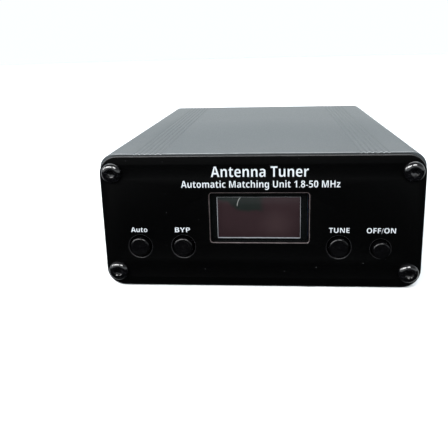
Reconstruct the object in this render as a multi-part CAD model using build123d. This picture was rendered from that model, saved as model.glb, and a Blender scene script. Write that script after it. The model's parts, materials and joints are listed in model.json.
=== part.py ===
from build123d import *
import os

# Automatic antenna tuner in a split extruded aluminium case. Millimetres. X runs to the right seen
# from the front, Y to the rear and Z up. The origin is on the resting plane, under the middle of the
# case. Each sub-part is written to parts/NODE.step.

# Case: two identical extruded halves, joined at mid height, closed by two flat end panels
CASE_WIDTH = 88.0
CASE_HEIGHT = 38.0
CASE_LENGTH = 110.0
CASE_CORNER = 4.0
WALL = 2.0
MID = CASE_HEIGHT / 2
CASE_FRONT = -CASE_LENGTH / 2
CASE_REAR = CASE_LENGTH / 2
INNER_X = CASE_WIDTH / 2 - WALL

# Fine grooves along the case: two bands on each broad face, one on each half of a side
GROOVE_PITCH = 1.46
GROOVE_WIDTH = 0.8
GROOVE_DEPTH = 0.35
GROOVE_BAND_START = 26.9
GROOVE_BAND_COUNT = 6
SIDE_GROOVE_START = 10.8
SIDE_GROOVE_COUNT = 3
SEAM_WIDTH = 0.8
SEAM_DEPTH = 0.4

# Tongue and groove along the seam
TONGUE_HEIGHT = 1.4
TONGUE_THICKNESS = 0.95
JOINT_GAP = 0.05

# End panels
PANEL_THICKNESS = 2.0
PANEL_INSET = 0.3
PANEL_CORNER = 5.0
PANEL_EDGE_ROUND = 0.35
PANEL_FRONT = CASE_FRONT - PANEL_THICKNESS
PANEL_REAR = CASE_REAR + PANEL_THICKNESS

# M3 button head panel screws, in open screw channels of the extrusion
SCREW_X = 40.2
SCREW_RISE = 14.2
SCREW_SHANK_R = 1.45
SCREW_LENGTH = 8.0
SCREW_HEAD_R = 2.85
SCREW_HEAD_HEIGHT = 1.65
SCREW_HEAD_DOME_R = 3.77
HEX_KEY_FLATS = 2.0
HEX_KEY_DEPTH = 1.04
SCREW_HOLE_R = 1.65
CHANNEL_R = 2.3
CHANNEL_BORE_R = 1.5
CHANNEL_SLOT = 1.2

# Main circuit board, held between the lower screw channels and a rib
BOARD_HALF_WIDTH = 41.6
BOARD_THICKNESS = 1.6
BOARD_TOP = 8.8
BOARD_FRONT = -51.5
BOARD_REAR = 51.0
RIB_LENGTH = 1.6
RIB_THICKNESS = 1.2
RIB_GAP = 0.15

# Display: window in the front panel, then polariser, glass and carrier board behind it
WINDOW_WIDTH = 27.0
WINDOW_HEIGHT = 14.1
WINDOW_CORNER = 0.7
WINDOW_X = -0.2
WINDOW_Z = 20.3
DISPLAY_X = -0.4
POLARISER = (22.9, 11.8, 0.2)
POLARISER_Z = 19.75
GLASS = (26.7, 19.3, 1.2)
GLASS_BOTTOM = 12.2
CARRIER = (27.3, 27.6, 1.2)
CARRIER_BOTTOM = 7.95
CARRIER_HOLE_R = 1.0
CARRIER_HOLE_INSET = 2.0
DISPLAY_FRONT = CASE_FRONT + 0.15
PIN_PITCH = 2.54
PIN_SIDE = 0.64
PIN_COUNT = 4

# Push buttons: three momentary ones and a taller, narrower latching power button
BUTTON_X = {"auto": -33.6, "bypass": -21.4, "tune": 21.4}
BUTTON_Z = 12.0
BUTTON_HOLE_R = 3.3
BUTTON_R = 2.7
BUTTON_PROUD = 1.0
BUTTON_FLANGE_R = 3.9
BUTTON_EDGE_ROUND = 0.4
POWER_X = 32.6
POWER_Z = 11.6
POWER_HOLE_R = 2.78
POWER_R = 2.35
POWER_PROUD = 1.8
POWER_FLANGE_R = 3.1
FLANGE_FRONT = CASE_FRONT + 0.4
FLANGE_THICKNESS = 0.7
STEM_R = 1.75
POWER_STEM_R = 1.5
STEM_GAP = 0.05

# Switch housings on the board
TACT_SIDE = 6.0
TACT_FRONT = -51.0
TACT_REAR = -47.5
POWER_SWITCH_WIDTH = 5.8
POWER_SWITCH_FRONT = -48.0
POWER_SWITCH_REAR = -39.0
POWER_SLEEVE_REAR = -51.9
POWER_STEM_REAR = -46.0
SPRING_R = 1.87
SPRING_WIRE_R = 0.15
SPRING_TURNS = 4

# Coaxial chassis sockets on the rear panel
SOCKET_X = {"antenna": 24.0, "transmitter": -24.0}
SOCKET_FLANGE = 25.0
SOCKET_FLANGE_THICKNESS = 2.4
SOCKET_FLANGE_CORNER = 2.0
SOCKET_BARREL_R = 7.94
SOCKET_BARREL_LENGTH = 16.0
SOCKET_BORE_R = 6.4
SOCKET_SPIGOT_R = 7.8
SOCKET_SPIGOT_REAR = 54.0
SOCKET_PANEL_HOLE_R = 8.1
SOCKET_SCREW_SPACING = 18.2
SOCKET_SCREW_HEAD_R = 2.75
SOCKET_SCREW_HEAD_HEIGHT = 1.9
SOCKET_NUT_FLATS = 5.5
SOCKET_NUT_HEIGHT = 2.4
INSULATOR_RECESS = 2.5
INSULATOR_TAIL_R = 5.5
INSULATOR_TAIL_REAR = 48.0
CONTACT_R = 2.6
CONTACT_BORE_R = 2.0
CONTACT_BORE_DEPTH = 12.0
CONTACT_TAIL_R = 1.9
CONTACT_TAIL_REAR = 45.0
SOCKET_MOUTH = PANEL_REAR + SOCKET_FLANGE_THICKNESS + SOCKET_BARREL_LENGTH
INSULATOR_FACE = SOCKET_MOUTH - INSULATOR_RECESS

# Ground post
GROUND_Z = 26.5
GROUND_STUD_R = 1.95
GROUND_STUD_FRONT = 50.0
GROUND_STUD_REAR = 71.0
GROUND_HOLE_R = 2.1
GROUND_NUT_FLATS = 7.0
GROUND_NUT_THICKNESS = 2.4
GROUND_LUG_THICKNESS = 0.8
LUG_RING_R = 3.6
LUG_TAIL_WIDTH = 2.4
LUG_TAIL_TOP = 7.5
WASHER_R = 4.5
WASHER_THICKNESS = 0.8
THUMB_NUT_R = 5.0
THUMB_NUT_LENGTH = 6.0
THUMB_NUT_KNURLS = 24
THUMB_NUT_KNURL_R = 0.35
SLIDING_GAP = 0.1

# Power inlet
INLET_Z = 13.2
INLET_BARREL_R = 4.0
INLET_HOLE_R = 4.1
INLET_FLANGE_R = 5.3
INLET_FLANGE_THICKNESS = 1.8
INLET_INNER_END = 47.0
INLET_BORE_R = 2.9
INLET_BORE_END = 49.5
INLET_PIN_R = 1.05
INLET_NUT_FLATS = 10.0
INLET_NUT_THICKNESS = 2.0
INLET_TAG_X = 2.0
INLET_TAG_WIDTH = 1.6
INLET_TAG_THICKNESS = 0.4
INLET_TAG_LENGTH = 2.6
INLET_LEAD_REACH = 2.2

# Parts on the board
RELAY = (15.5, 10.4, 11.5)
RELAY_PITCH = 11.0
RELAY_X = 32.0
CAPACITOR_RELAYS = (8, -40.0)
INDUCTOR_RELAYS = (7, -33.0)
TUNING_CAPACITOR = (2.0, 3.4, 2.2)
TUNING_CAPACITOR_X = -23.0
CORE_OUTER_R = 10.1
CORE_INNER_R = 6.3
CORE_HEIGHT = 6.4
WINDING_WIRE = 1.0
WINDING_ARC = 320.0
CORE_X = 11.6
CORE_Y = (-5.5, 18.0)
AIR_COIL_X = (-14.0, 0.0, 14.0)
AIR_COIL_Y = -22.0
AIR_COIL_R = 3.5
AIR_COIL_WIRE_R = 0.5
AIR_COIL_PITCH = 1.6
BRIDGE_X = 12.0
BRIDGE_Y = 36.0
BRIDGE_OUTER_R = 6.35
BRIDGE_INNER_R = 3.6
BRIDGE_WIDTH = 4.8
BRIDGE_LINE_R = 1.5
BRIDGE_LINE_HALF = 6.0
CONTROLLER_Y = -41.0
CONTROLLER_SOCKET = (36.0, 9.6, 3.0)
CONTROLLER_SOCKET_WELL = (30.0, 4.6, 1.6)
CONTROLLER_CHIP = (35.4, 7.0)
DRIVER_CHIP = (19.4, 6.4)
DRIVER_X = 11.5
DRIVER_Y = -31.2
CHIP_HEIGHT = 3.4
CHIP_NOTCH_R = 1.0
CHIP_NOTCH_DEPTH = 0.8
REGULATOR_PLACE = (-12.5, 44.0)
REGULATOR_BODY = (6.6, 6.1, 2.3)
REGULATOR_TAB = (5.4, 1.0, 0.5)
CAN_PLACES = ((10.5, 47.5), (0.0, 29.5))
CAN_R = 3.15
CAN_HEIGHT = 5.6

# Battery pack under the lid
BATTERY = (35.0, 70.0, 13.0)
BATTERY_Y = -4.0
BATTERY_CORNER = 2.5
BATTERY_PAD = 1.0
HEADER = (7.4, 5.0, 5.0)
HEADER_WALL = 0.8
HEADER_Y = 38.0
PLUG = (5.6, 3.2, 6.0)
BATTERY_LEAD_X = 1.3
BATTERY_LEAD_DROP = 5.0
BATTERY_LEAD_BEND = 3.0
LEAD_R = 0.8
RF_LEAD_R = 0.6
RF_LEAD_REACH = 1.6
RF_LEAD_INWARD = 4.0
GROUND_LEAD_R = 0.6
GROUND_LEAD_REACH = 5.8
GROUND_LEAD_X = 5.0


def block(x, y, z):
    """A box from three (low, high) pairs."""
    size = [high - low for low, high in (x, y, z)]
    middle = [(high + low) / 2 for low, high in (x, y, z)]
    return Pos(*middle) * Box(*size)


def standing(width, length, height, x, y, z=BOARD_TOP):
    """A box standing on height z, centred on x and y."""
    return Pos(x, y, z + height / 2) * Box(width, length, height)


def rod(radius, front, rear, x=0.0, z=0.0):
    """A cylinder along Y."""
    return Pos(x, (front + rear) / 2, z) * Rot(90, 0, 0) * Cylinder(radius, rear - front)


def slab(sketch, front, rear):
    """A sketch drawn in X and Z, as thick as from front to rear."""
    return Pos(0, rear, 0) * extrude(Plane.XZ * sketch, rear - front)


def hex_nut(flats, bore_r, front, rear, x, z):
    """A hexagon nut along Y."""
    outline = RegularPolygon(flats / 2, 6, major_radius=False) - Circle(bore_r)
    return slab(Pos(x, z) * outline, front, rear)


def wire_along(points, radii, wire_r):
    """A round wire along straight runs joined by arcs."""
    path = FilletPolyline(*points, radius=radii)
    end = Plane(path @ 0, z_dir=path % 0)
    return sweep(end * Circle(wire_r), path)


def screw_centres():
    """X and Z of the four panel screws."""
    return [(x, MID + rise) for x in (-SCREW_X, SCREW_X) for rise in (-SCREW_RISE, SCREW_RISE)]


def socket_screw_centres(x):
    """X and Z of the four flange screws of a socket."""
    half = SOCKET_SCREW_SPACING / 2
    return [(x + dx, MID + dz) for dx in (-half, half) for dz in (-half, half)]


# ---------------------------------------------------------------- case


def groove(x, z, turn):
    """The section of one fine groove, opening outwards from a face."""
    half = GROOVE_WIDTH / 2
    section = Polygon((-half, 0.01), (half, 0.01), (0, -GROOVE_DEPTH), align=None)
    return Pos(x, z) * Rot(0, 0, turn) * section


def case_half_section():
    """The lower half of the case, seen from the front."""
    outer = Pos(0, MID) * RectangleRounded(CASE_WIDTH, CASE_HEIGHT, CASE_CORNER)
    inner = Pos(0, MID) * RectangleRounded(
        CASE_WIDTH - 2 * WALL, CASE_HEIGHT - 2 * WALL, CASE_CORNER - WALL
    )
    lower = Pos(0, MID / 2) * Rectangle(CASE_WIDTH, MID)
    section = (outer - inner) & lower
    channel_z = MID - SCREW_RISE
    for side in (-1, 1):
        channel = Pos(side * SCREW_X, channel_z) * Circle(CHANNEL_R)
        web = Pos(side * (SCREW_X + CHANNEL_R / 2), channel_z) * Rectangle(CHANNEL_R, 2 * CHANNEL_R)
        foot = Pos(side * SCREW_X, channel_z - CHANNEL_R / 2) * Rectangle(2 * CHANNEL_R, CHANNEL_R)
        section += (channel + web + foot) & outer & lower
        rib_z = BOARD_TOP + RIB_GAP + RIB_THICKNESS / 2
        section += Pos(side * (INNER_X - RIB_LENGTH / 2), rib_z) * Rectangle(RIB_LENGTH, RIB_THICKNESS)
    for side in (-1, 1):
        bore = Pos(side * SCREW_X, channel_z) * Circle(CHANNEL_BORE_R)
        slot = Pos(side * (SCREW_X - CHANNEL_R), channel_z) * Rectangle(2 * CHANNEL_R, CHANNEL_SLOT)
        section -= bore + slot
        seam = Pos(side * CASE_WIDTH / 2, MID) * Rot(0, 0, 45)
        section -= seam * Rectangle(SEAM_DEPTH * 2**0.5, SEAM_DEPTH * 2**0.5)
        for i in range(GROOVE_BAND_COUNT):
            section -= groove(side * (GROOVE_BAND_START + i * GROOVE_PITCH), 0, 180)
        for i in range(SIDE_GROOVE_COUNT):
            section -= groove(side * CASE_WIDTH / 2, SIDE_GROOVE_START + i * GROOVE_PITCH, -90 * side)
    tongue_x = -(INNER_X + TONGUE_THICKNESS / 2)
    section += Pos(tongue_x, MID) * Rectangle(TONGUE_THICKNESS, 2 * TONGUE_HEIGHT)
    notch = TONGUE_THICKNESS + 2 * JOINT_GAP
    section -= Pos(INNER_X + notch / 2, MID) * Rectangle(notch, 2 * (TONGUE_HEIGHT + JOINT_GAP))
    return section


def bottom_shell():
    return slab(case_half_section(), CASE_FRONT, CASE_REAR)


def top_shell(lower):
    """The same extrusion, turned over."""
    return Pos(0, 0, CASE_HEIGHT) * Rot(0, 180, 0) * lower


def panel_blank(inner, outer):
    """A rounded plate with the four screw holes; outer is the face that shows."""
    outline = Pos(0, MID) * RectangleRounded(
        CASE_WIDTH - 2 * PANEL_INSET, CASE_HEIGHT - 2 * PANEL_INSET, PANEL_CORNER
    )
    plate = slab(outline, min(inner, outer), max(inner, outer))
    face = plate.faces().sort_by(Axis.Y)[-1 if outer > inner else 0]
    plate = fillet(face.edges(), PANEL_EDGE_ROUND)
    for x, z in screw_centres():
        plate -= rod(SCREW_HOLE_R, min(inner, outer) - 1, max(inner, outer) + 1, x, z)
    return plate


def front_panel():
    panel = panel_blank(CASE_FRONT, PANEL_FRONT)
    window = Pos(WINDOW_X, WINDOW_Z) * RectangleRounded(WINDOW_WIDTH, WINDOW_HEIGHT, WINDOW_CORNER)
    panel -= slab(window, PANEL_FRONT - 1, CASE_FRONT + 1)
    for x in BUTTON_X.values():
        panel -= rod(BUTTON_HOLE_R, PANEL_FRONT - 1, CASE_FRONT + 1, x, BUTTON_Z)
    return panel - rod(POWER_HOLE_R, PANEL_FRONT - 1, CASE_FRONT + 1, POWER_X, POWER_Z)


def rear_panel():
    panel = panel_blank(CASE_REAR, PANEL_REAR)
    for x in SOCKET_X.values():
        panel -= rod(SOCKET_PANEL_HOLE_R, CASE_REAR - 1, PANEL_REAR + 1, x, MID)
        for hole_x, hole_z in socket_screw_centres(x):
            panel -= rod(SCREW_HOLE_R, CASE_REAR - 1, PANEL_REAR + 1, hole_x, hole_z)
    panel -= rod(GROUND_HOLE_R, CASE_REAR - 1, PANEL_REAR + 1, 0, GROUND_Z)
    return panel - rod(INLET_HOLE_R, CASE_REAR - 1, PANEL_REAR + 1, 0, INLET_Z)


def button_head_screw(length):
    """Along Z: the head stands on Z = 0 and the shank hangs below it."""
    head = Pos(0, 0, SCREW_HEAD_HEIGHT / 2) * Cylinder(SCREW_HEAD_R, SCREW_HEAD_HEIGHT)
    head &= Pos(0, 0, SCREW_HEAD_HEIGHT - SCREW_HEAD_DOME_R) * Sphere(SCREW_HEAD_DOME_R)
    key = RegularPolygon(HEX_KEY_FLATS / 2, 6, major_radius=False)
    head -= Pos(0, 0, SCREW_HEAD_HEIGHT - HEX_KEY_DEPTH) * extrude(key, SCREW_HEAD_HEIGHT)
    return head + Pos(0, 0, -length / 2) * Cylinder(SCREW_SHANK_R, length)


def panel_screws(face, turn):
    """Four screws with their heads on a panel's outer face."""
    screw = Rot(turn, 0, 0) * button_head_screw(SCREW_LENGTH)
    return [Pos(x, face, z) * screw for x, z in screw_centres()]


# ---------------------------------------------------------------- display


def display_layer(size, bottom, front):
    """One upright layer of the display, from its width, height and thickness."""
    width, height, thickness = size
    x = (DISPLAY_X - width / 2, DISPLAY_X + width / 2)
    return block(x, (front, front + thickness), (bottom, bottom + height))


def display_carrier(front):
    carrier = display_layer(CARRIER, CARRIER_BOTTOM, front)
    half = CARRIER[0] / 2 - CARRIER_HOLE_INSET
    for x in (DISPLAY_X - half, DISPLAY_X + half):
        for z in (CARRIER_BOTTOM + CARRIER_HOLE_INSET, CARRIER_BOTTOM + CARRIER[1] - CARRIER_HOLE_INSET):
            carrier -= rod(CARRIER_HOLE_R, front - 1, front + CARRIER[2] + 1, x, z)
    for x in pin_places():
        carrier -= rod(PIN_SIDE * 0.75, front - 1, front + CARRIER[2] + 1, x, pin_height())
    return carrier


def pin_places():
    return [DISPLAY_X + (i - (PIN_COUNT - 1) / 2) * PIN_PITCH for i in range(PIN_COUNT)]


def pin_height():
    return BOARD_TOP + PIN_SIDE / 2


def display_pins(front):
    """Straight header pins, soldered in the carrier and flat on the main board."""
    z = (BOARD_TOP, BOARD_TOP + PIN_SIDE)
    y = (front + 0.1, BOARD_FRONT + 4.5)
    half = PIN_SIDE / 2
    return [block((x - half, x + half), y, z) for x in pin_places()]


# ---------------------------------------------------------------- buttons and switches


def button_cap(radius, proud, flange_r, stem_r, sleeve_rear, x, z):
    """A round cap with a flange that keeps it behind the panel, and a blind socket for its stem."""
    cap = rod(radius, PANEL_FRONT - proud, sleeve_rear, x, z)
    face_edge = cap.edges().filter_by(GeomType.CIRCLE).sort_by(Axis.Y)[0]
    cap = fillet(face_edge, BUTTON_EDGE_ROUND)
    cap += rod(flange_r, FLANGE_FRONT, FLANGE_FRONT + FLANGE_THICKNESS, x, z)
    return cap - rod(stem_r, FLANGE_FRONT, sleeve_rear + 1, x, z)


def small_cap(x):
    return button_cap(BUTTON_R, BUTTON_PROUD, BUTTON_FLANGE_R, STEM_R, TACT_FRONT - 0.9, x, BUTTON_Z)


def small_stem(x):
    return rod(STEM_R, FLANGE_FRONT, TACT_FRONT + 0.6, x, BUTTON_Z)


def tact_housing(x):
    half = TACT_SIDE / 2
    z = (BOARD_TOP, BUTTON_Z + half)
    body = block((x - half, x + half), (TACT_FRONT, TACT_REAR), z)
    return body - rod(STEM_R + STEM_GAP, TACT_FRONT - 1, TACT_FRONT + 1.2, x, BUTTON_Z)


def power_switch_housing():
    half = POWER_SWITCH_WIDTH / 2
    z = (BOARD_TOP, POWER_Z + half)
    body = block((POWER_X - half, POWER_X + half), (POWER_SWITCH_FRONT, POWER_SWITCH_REAR), z)
    bore_end = POWER_STEM_REAR + 2.4
    return body - rod(POWER_STEM_R + STEM_GAP, POWER_SWITCH_FRONT - 1, bore_end, POWER_X, POWER_Z)


def power_spring():
    length = POWER_SWITCH_FRONT - POWER_SLEEVE_REAR - 2 * SPRING_WIRE_R - 0.1
    pitch = length / SPRING_TURNS
    path = Helix(pitch, length, SPRING_R)
    end = Plane(path @ 0, z_dir=path % 0)
    spring = sweep(end * Circle(SPRING_WIRE_R), path, is_frenet=True)
    front = POWER_SLEEVE_REAR + SPRING_WIRE_R + 0.05
    return Pos(POWER_X, front, POWER_Z) * Rot(-90, 0, 0) * spring


# ---------------------------------------------------------------- rear connectors


def socket_shell(x):
    """Threaded barrel, square flange and the spigot through the panel."""
    flange_rear = PANEL_REAR + SOCKET_FLANGE_THICKNESS
    square = RectangleRounded(SOCKET_FLANGE, SOCKET_FLANGE, SOCKET_FLANGE_CORNER)
    shell = slab(Pos(x, MID) * square, PANEL_REAR, flange_rear)
    shell += rod(SOCKET_BARREL_R, flange_rear, SOCKET_MOUTH, x, MID)
    shell += rod(SOCKET_SPIGOT_R, SOCKET_SPIGOT_REAR, PANEL_REAR, x, MID)
    shell -= rod(SOCKET_BORE_R, SOCKET_SPIGOT_REAR - 1, SOCKET_MOUTH + 1, x, MID)
    for hole_x, hole_z in socket_screw_centres(x):
        shell -= rod(SCREW_HOLE_R, PANEL_REAR - 1, flange_rear + 1, hole_x, hole_z)
    return shell


def socket_insulator(x):
    body = rod(SOCKET_BORE_R - 0.05, SOCKET_SPIGOT_REAR, INSULATOR_FACE, x, MID)
    body += rod(INSULATOR_TAIL_R, INSULATOR_TAIL_REAR, SOCKET_SPIGOT_REAR, x, MID)
    return body - rod(CONTACT_R, INSULATOR_TAIL_REAR - 1, INSULATOR_FACE + 1, x, MID)


def socket_contact(x):
    face = INSULATOR_FACE + 0.3
    contact = rod(CONTACT_R, INSULATOR_TAIL_REAR, face, x, MID)
    contact += rod(CONTACT_TAIL_R, CONTACT_TAIL_REAR, INSULATOR_TAIL_REAR, x, MID)
    return contact - rod(CONTACT_BORE_R, face - CONTACT_BORE_DEPTH, face + 1, x, MID)


def socket_screws():
    """Cross recessed pan head screws through the flanges."""
    face = PANEL_REAR + SOCKET_FLANGE_THICKNESS
    head_top = face + SOCKET_SCREW_HEAD_HEIGHT
    screws = []
    for x in SOCKET_X.values():
        for hole_x, hole_z in socket_screw_centres(x):
            head = rod(SOCKET_SCREW_HEAD_R, face, head_top, hole_x, hole_z)
            rim = head.edges().filter_by(GeomType.CIRCLE).sort_by(Axis.Y)[-1]
            screw = fillet(rim, SOCKET_SCREW_HEAD_HEIGHT * 0.45)
            y = (head_top - 1.0, head_top + 1)
            for half_x, half_z in ((1.25, 0.3), (0.3, 1.25)):
                arm_x = (hole_x - half_x, hole_x + half_x)
                screw -= block(arm_x, y, (hole_z - half_z, hole_z + half_z))
            screws.append(screw + rod(SCREW_SHANK_R, face - SCREW_LENGTH, face, hole_x, hole_z))
    return screws


def socket_nuts():
    front = CASE_REAR - SOCKET_NUT_HEIGHT
    bore = SCREW_SHANK_R + STEM_GAP
    return [
        hex_nut(SOCKET_NUT_FLATS, bore, front, CASE_REAR, nut_x, nut_z)
        for x in SOCKET_X.values()
        for nut_x, nut_z in socket_screw_centres(x)
    ]


def socket_leads():
    """From each socket's contact, inwards and down to the board."""
    leads = []
    y = CONTACT_TAIL_REAR - RF_LEAD_REACH
    for x in SOCKET_X.values():
        pad_x = x - RF_LEAD_INWARD * (1 if x > 0 else -1)
        points = [
            (x, CONTACT_TAIL_REAR, MID),
            (x, y, MID),
            (pad_x, y, MID - RF_LEAD_INWARD / 2),
            (pad_x, y, BOARD_TOP),
        ]
        leads.append(wire_along(points, [0.7, 1.6], RF_LEAD_R))
    return leads


def ground_lead():
    """From the tail of the lug, down behind the nut to the board."""
    top = GROUND_Z + LUG_TAIL_TOP - GROUND_LEAD_R
    start = CASE_REAR - GROUND_LUG_THICKNESS
    y = start - GROUND_LEAD_REACH
    points = [
        (0, start, top),
        (0, y, top),
        (GROUND_LEAD_X, y, top - 2 * GROUND_LEAD_REACH),
        (GROUND_LEAD_X, y, BOARD_TOP),
    ]
    return wire_along(points, [2.0, 4.0], GROUND_LEAD_R)


def ground_nut_front():
    return PANEL_REAR + GROUND_NUT_THICKNESS + SLIDING_GAP


def ground_lock_nuts():
    """One nut on each side of the panel; the inner one clamps the lug."""
    bore = GROUND_STUD_R + 0.02
    inner_rear = CASE_REAR - GROUND_LUG_THICKNESS
    inner_front = inner_rear - GROUND_NUT_THICKNESS
    outer_rear = PANEL_REAR + GROUND_NUT_THICKNESS
    return [
        hex_nut(GROUND_NUT_FLATS, bore, inner_front, inner_rear, 0, GROUND_Z),
        hex_nut(GROUND_NUT_FLATS, bore, PANEL_REAR, outer_rear, 0, GROUND_Z),
    ]


def ground_lug():
    """A ring tag with a solder tail that reaches up behind the panel."""
    ring = Pos(0, GROUND_Z) * Circle(LUG_RING_R)
    tail = Pos(0, GROUND_Z + LUG_TAIL_TOP / 2) * Rectangle(LUG_TAIL_WIDTH, LUG_TAIL_TOP)
    outline = ring + tail - Pos(0, GROUND_Z) * Circle(GROUND_HOLE_R)
    return slab(outline, CASE_REAR - GROUND_LUG_THICKNESS, CASE_REAR)


def ground_washer():
    front = ground_nut_front()
    washer = rod(WASHER_R, front, front + WASHER_THICKNESS, 0, GROUND_Z)
    return washer - rod(GROUND_STUD_R + 0.2, front - 1, front + 2, 0, GROUND_Z)


def ground_thumb_nut():
    """A round nut with a knurled edge and a turned collar."""
    front = ground_nut_front() + WASHER_THICKNESS + SLIDING_GAP
    collar_rear = front + THUMB_NUT_LENGTH * 0.3
    rear = front + THUMB_NUT_LENGTH
    nut = rod(THUMB_NUT_R * 0.75, front, collar_rear, 0, GROUND_Z)
    head = rod(THUMB_NUT_R, collar_rear, rear, 0, GROUND_Z)
    head = chamfer(head.edges().filter_by(GeomType.CIRCLE), 0.4)
    for i in range(THUMB_NUT_KNURLS):
        place = Pos(0, 0, GROUND_Z) * Rot(0, i * 360 / THUMB_NUT_KNURLS, 0)
        head -= place * rod(THUMB_NUT_KNURL_R, collar_rear - 1, rear + 1, THUMB_NUT_R, 0)
    return nut + head - rod(GROUND_STUD_R + 0.05, front - 1, rear + 1, 0, GROUND_Z)


def inlet_body():
    flange_rear = PANEL_REAR + INLET_FLANGE_THICKNESS
    body = rod(INLET_BARREL_R, INLET_INNER_END, PANEL_REAR, 0, INLET_Z)
    flange = rod(INLET_FLANGE_R, PANEL_REAR, flange_rear, 0, INLET_Z)
    rim = flange.edges().filter_by(GeomType.CIRCLE).sort_by(Axis.Y)[-1]
    body += fillet(rim, 0.6)
    return body - rod(INLET_BORE_R, INLET_BORE_END, flange_rear + 1, 0, INLET_Z)


def inlet_pin():
    """The centre pin, with its solder tag inside the case."""
    pin = rod(INLET_PIN_R, INLET_BORE_END, PANEL_REAR + 0.8, 0, INLET_Z)
    tip = pin.edges().filter_by(GeomType.CIRCLE).sort_by(Axis.Y)[-1]
    return fillet(tip, 0.5)


def inlet_tags():
    half, rise = INLET_TAG_WIDTH / 2, INLET_TAG_THICKNESS / 2
    y = (INLET_INNER_END - INLET_TAG_LENGTH, INLET_INNER_END)
    z = (INLET_Z - rise, INLET_Z + rise)
    return [block((x - half, x + half), y, z) for x in (-INLET_TAG_X, INLET_TAG_X)]


def inlet_leads():
    """Two insulated wires from the inlet's tags down to the board."""
    leads = []
    start = INLET_INNER_END - INLET_TAG_LENGTH
    end = start - INLET_LEAD_REACH
    for x in (-INLET_TAG_X, INLET_TAG_X):
        points = [(x, start, INLET_Z), (x, end, INLET_Z), (x, end, BOARD_TOP)]
        leads.append(wire_along(points, 1.2, LEAD_R))
    return leads


# ---------------------------------------------------------------- main board


def main_board():
    half = BOARD_HALF_WIDTH
    return block((-half, half), (BOARD_FRONT, BOARD_REAR), (BOARD_TOP - BOARD_THICKNESS, BOARD_TOP))


def relay_row(x, row):
    count, first = row
    return [standing(*RELAY, x, first + i * RELAY_PITCH) for i in range(count)]


def core_places():
    return [(side * CORE_X, y) for y in CORE_Y for side in (-1, 1)]


def core_middle():
    return BOARD_TOP + WINDING_WIRE + 0.1 + CORE_HEIGHT / 2


def toroid_cores():
    ring = Cylinder(CORE_OUTER_R - WINDING_WIRE, CORE_HEIGHT) - Cylinder(CORE_INNER_R, CORE_HEIGHT)
    return [Pos(x, y, core_middle()) * ring for x, y in core_places()]


def toroid_windings():
    """Each winding is one open sleeve round its core."""
    depth = CORE_OUTER_R - WINDING_WIRE - CORE_INNER_R
    outer = Rectangle(depth + 2 * WINDING_WIRE, CORE_HEIGHT + 2 * WINDING_WIRE)
    section = Pos(CORE_INNER_R + depth / 2, 0) * (outer - Rectangle(depth, CORE_HEIGHT))
    sleeve = revolve(Plane.XZ * section, Axis.Z, WINDING_ARC)
    return [Pos(x, y, core_middle()) * sleeve for x, y in core_places()]


def air_coils():
    coils = []
    for x, turns in zip(AIR_COIL_X, (5, 4, 3)):
        path = Helix(AIR_COIL_PITCH, turns * AIR_COIL_PITCH, AIR_COIL_R)
        end = Plane(path @ 0, z_dir=path % 0)
        coil = sweep(end * Circle(AIR_COIL_WIRE_R), path, is_frenet=True)
        low = BOARD_TOP + AIR_COIL_R + AIR_COIL_WIRE_R + 0.05
        start = AIR_COIL_Y - turns * AIR_COIL_PITCH / 2
        coils.append(Pos(x, start, low) * Rot(-90, 0, 0) * coil)
    return coils


def bridge_cores():
    """Two current transformers, standing on edge."""
    z = BOARD_TOP + BRIDGE_OUTER_R
    front, rear = BRIDGE_Y - BRIDGE_WIDTH / 2, BRIDGE_Y + BRIDGE_WIDTH / 2
    return [
        rod(BRIDGE_OUTER_R, front, rear, x, z) - rod(BRIDGE_INNER_R, front - 1, rear + 1, x, z)
        for x in (-BRIDGE_X, BRIDGE_X)
    ]


def bridge_lines():
    """The stub of line that runs through each transformer."""
    z = BOARD_TOP + BRIDGE_OUTER_R
    front, rear = BRIDGE_Y - BRIDGE_LINE_HALF, BRIDGE_Y + BRIDGE_LINE_HALF
    return [rod(BRIDGE_LINE_R, front, rear, x, z) for x in (-BRIDGE_X, BRIDGE_X)]


def tuning_capacitors():
    count, first = CAPACITOR_RELAYS
    middle = first + RELAY_PITCH / 2
    return [
        standing(*TUNING_CAPACITOR, TUNING_CAPACITOR_X, middle + i * RELAY_PITCH)
        for i in range(count - 1)
    ]


def chip(size, x, y, base):
    """A moulded chip with a notch at one end of its top."""
    width, length = size
    body = standing(width, length, CHIP_HEIGHT, x, y, base)
    notch = Cylinder(CHIP_NOTCH_R, 2 * CHIP_NOTCH_DEPTH)
    return body - Pos(x - width / 2, y, base + CHIP_HEIGHT) * notch


def controller_socket():
    frame = standing(*CONTROLLER_SOCKET, 0, CONTROLLER_Y)
    floor = BOARD_TOP + CONTROLLER_SOCKET[2] - CONTROLLER_SOCKET_WELL[2]
    return frame - standing(*CONTROLLER_SOCKET_WELL, 0, CONTROLLER_Y, floor)


def driver_chips():
    return [chip(DRIVER_CHIP, x, DRIVER_Y, BOARD_TOP) for x in (-DRIVER_X, DRIVER_X)]


def voltage_regulator():
    x, y = REGULATOR_PLACE
    body = standing(*REGULATOR_BODY, x, y)
    tab_width, tab_length, tab_height = REGULATOR_TAB
    return body + standing(tab_width, tab_length, tab_height, x, y + (REGULATOR_BODY[1] + tab_length) / 2)


def filter_capacitors():
    cans = []
    for x, y in CAN_PLACES:
        can = Pos(x, y, BOARD_TOP + CAN_HEIGHT / 2) * Cylinder(CAN_R, CAN_HEIGHT)
        rim = can.edges().filter_by(GeomType.CIRCLE).sort_by(Axis.Z)[-1]
        cans.append(fillet(rim, 0.5))
    return cans


# ---------------------------------------------------------------- battery


def battery_top():
    return CASE_HEIGHT - WALL - BATTERY_PAD


def battery_pack():
    width, length, height = BATTERY
    pack = standing(width, length, height, 0, BATTERY_Y, battery_top() - height)
    return fillet(pack.edges().filter_by(Axis.Y), BATTERY_CORNER)


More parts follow.
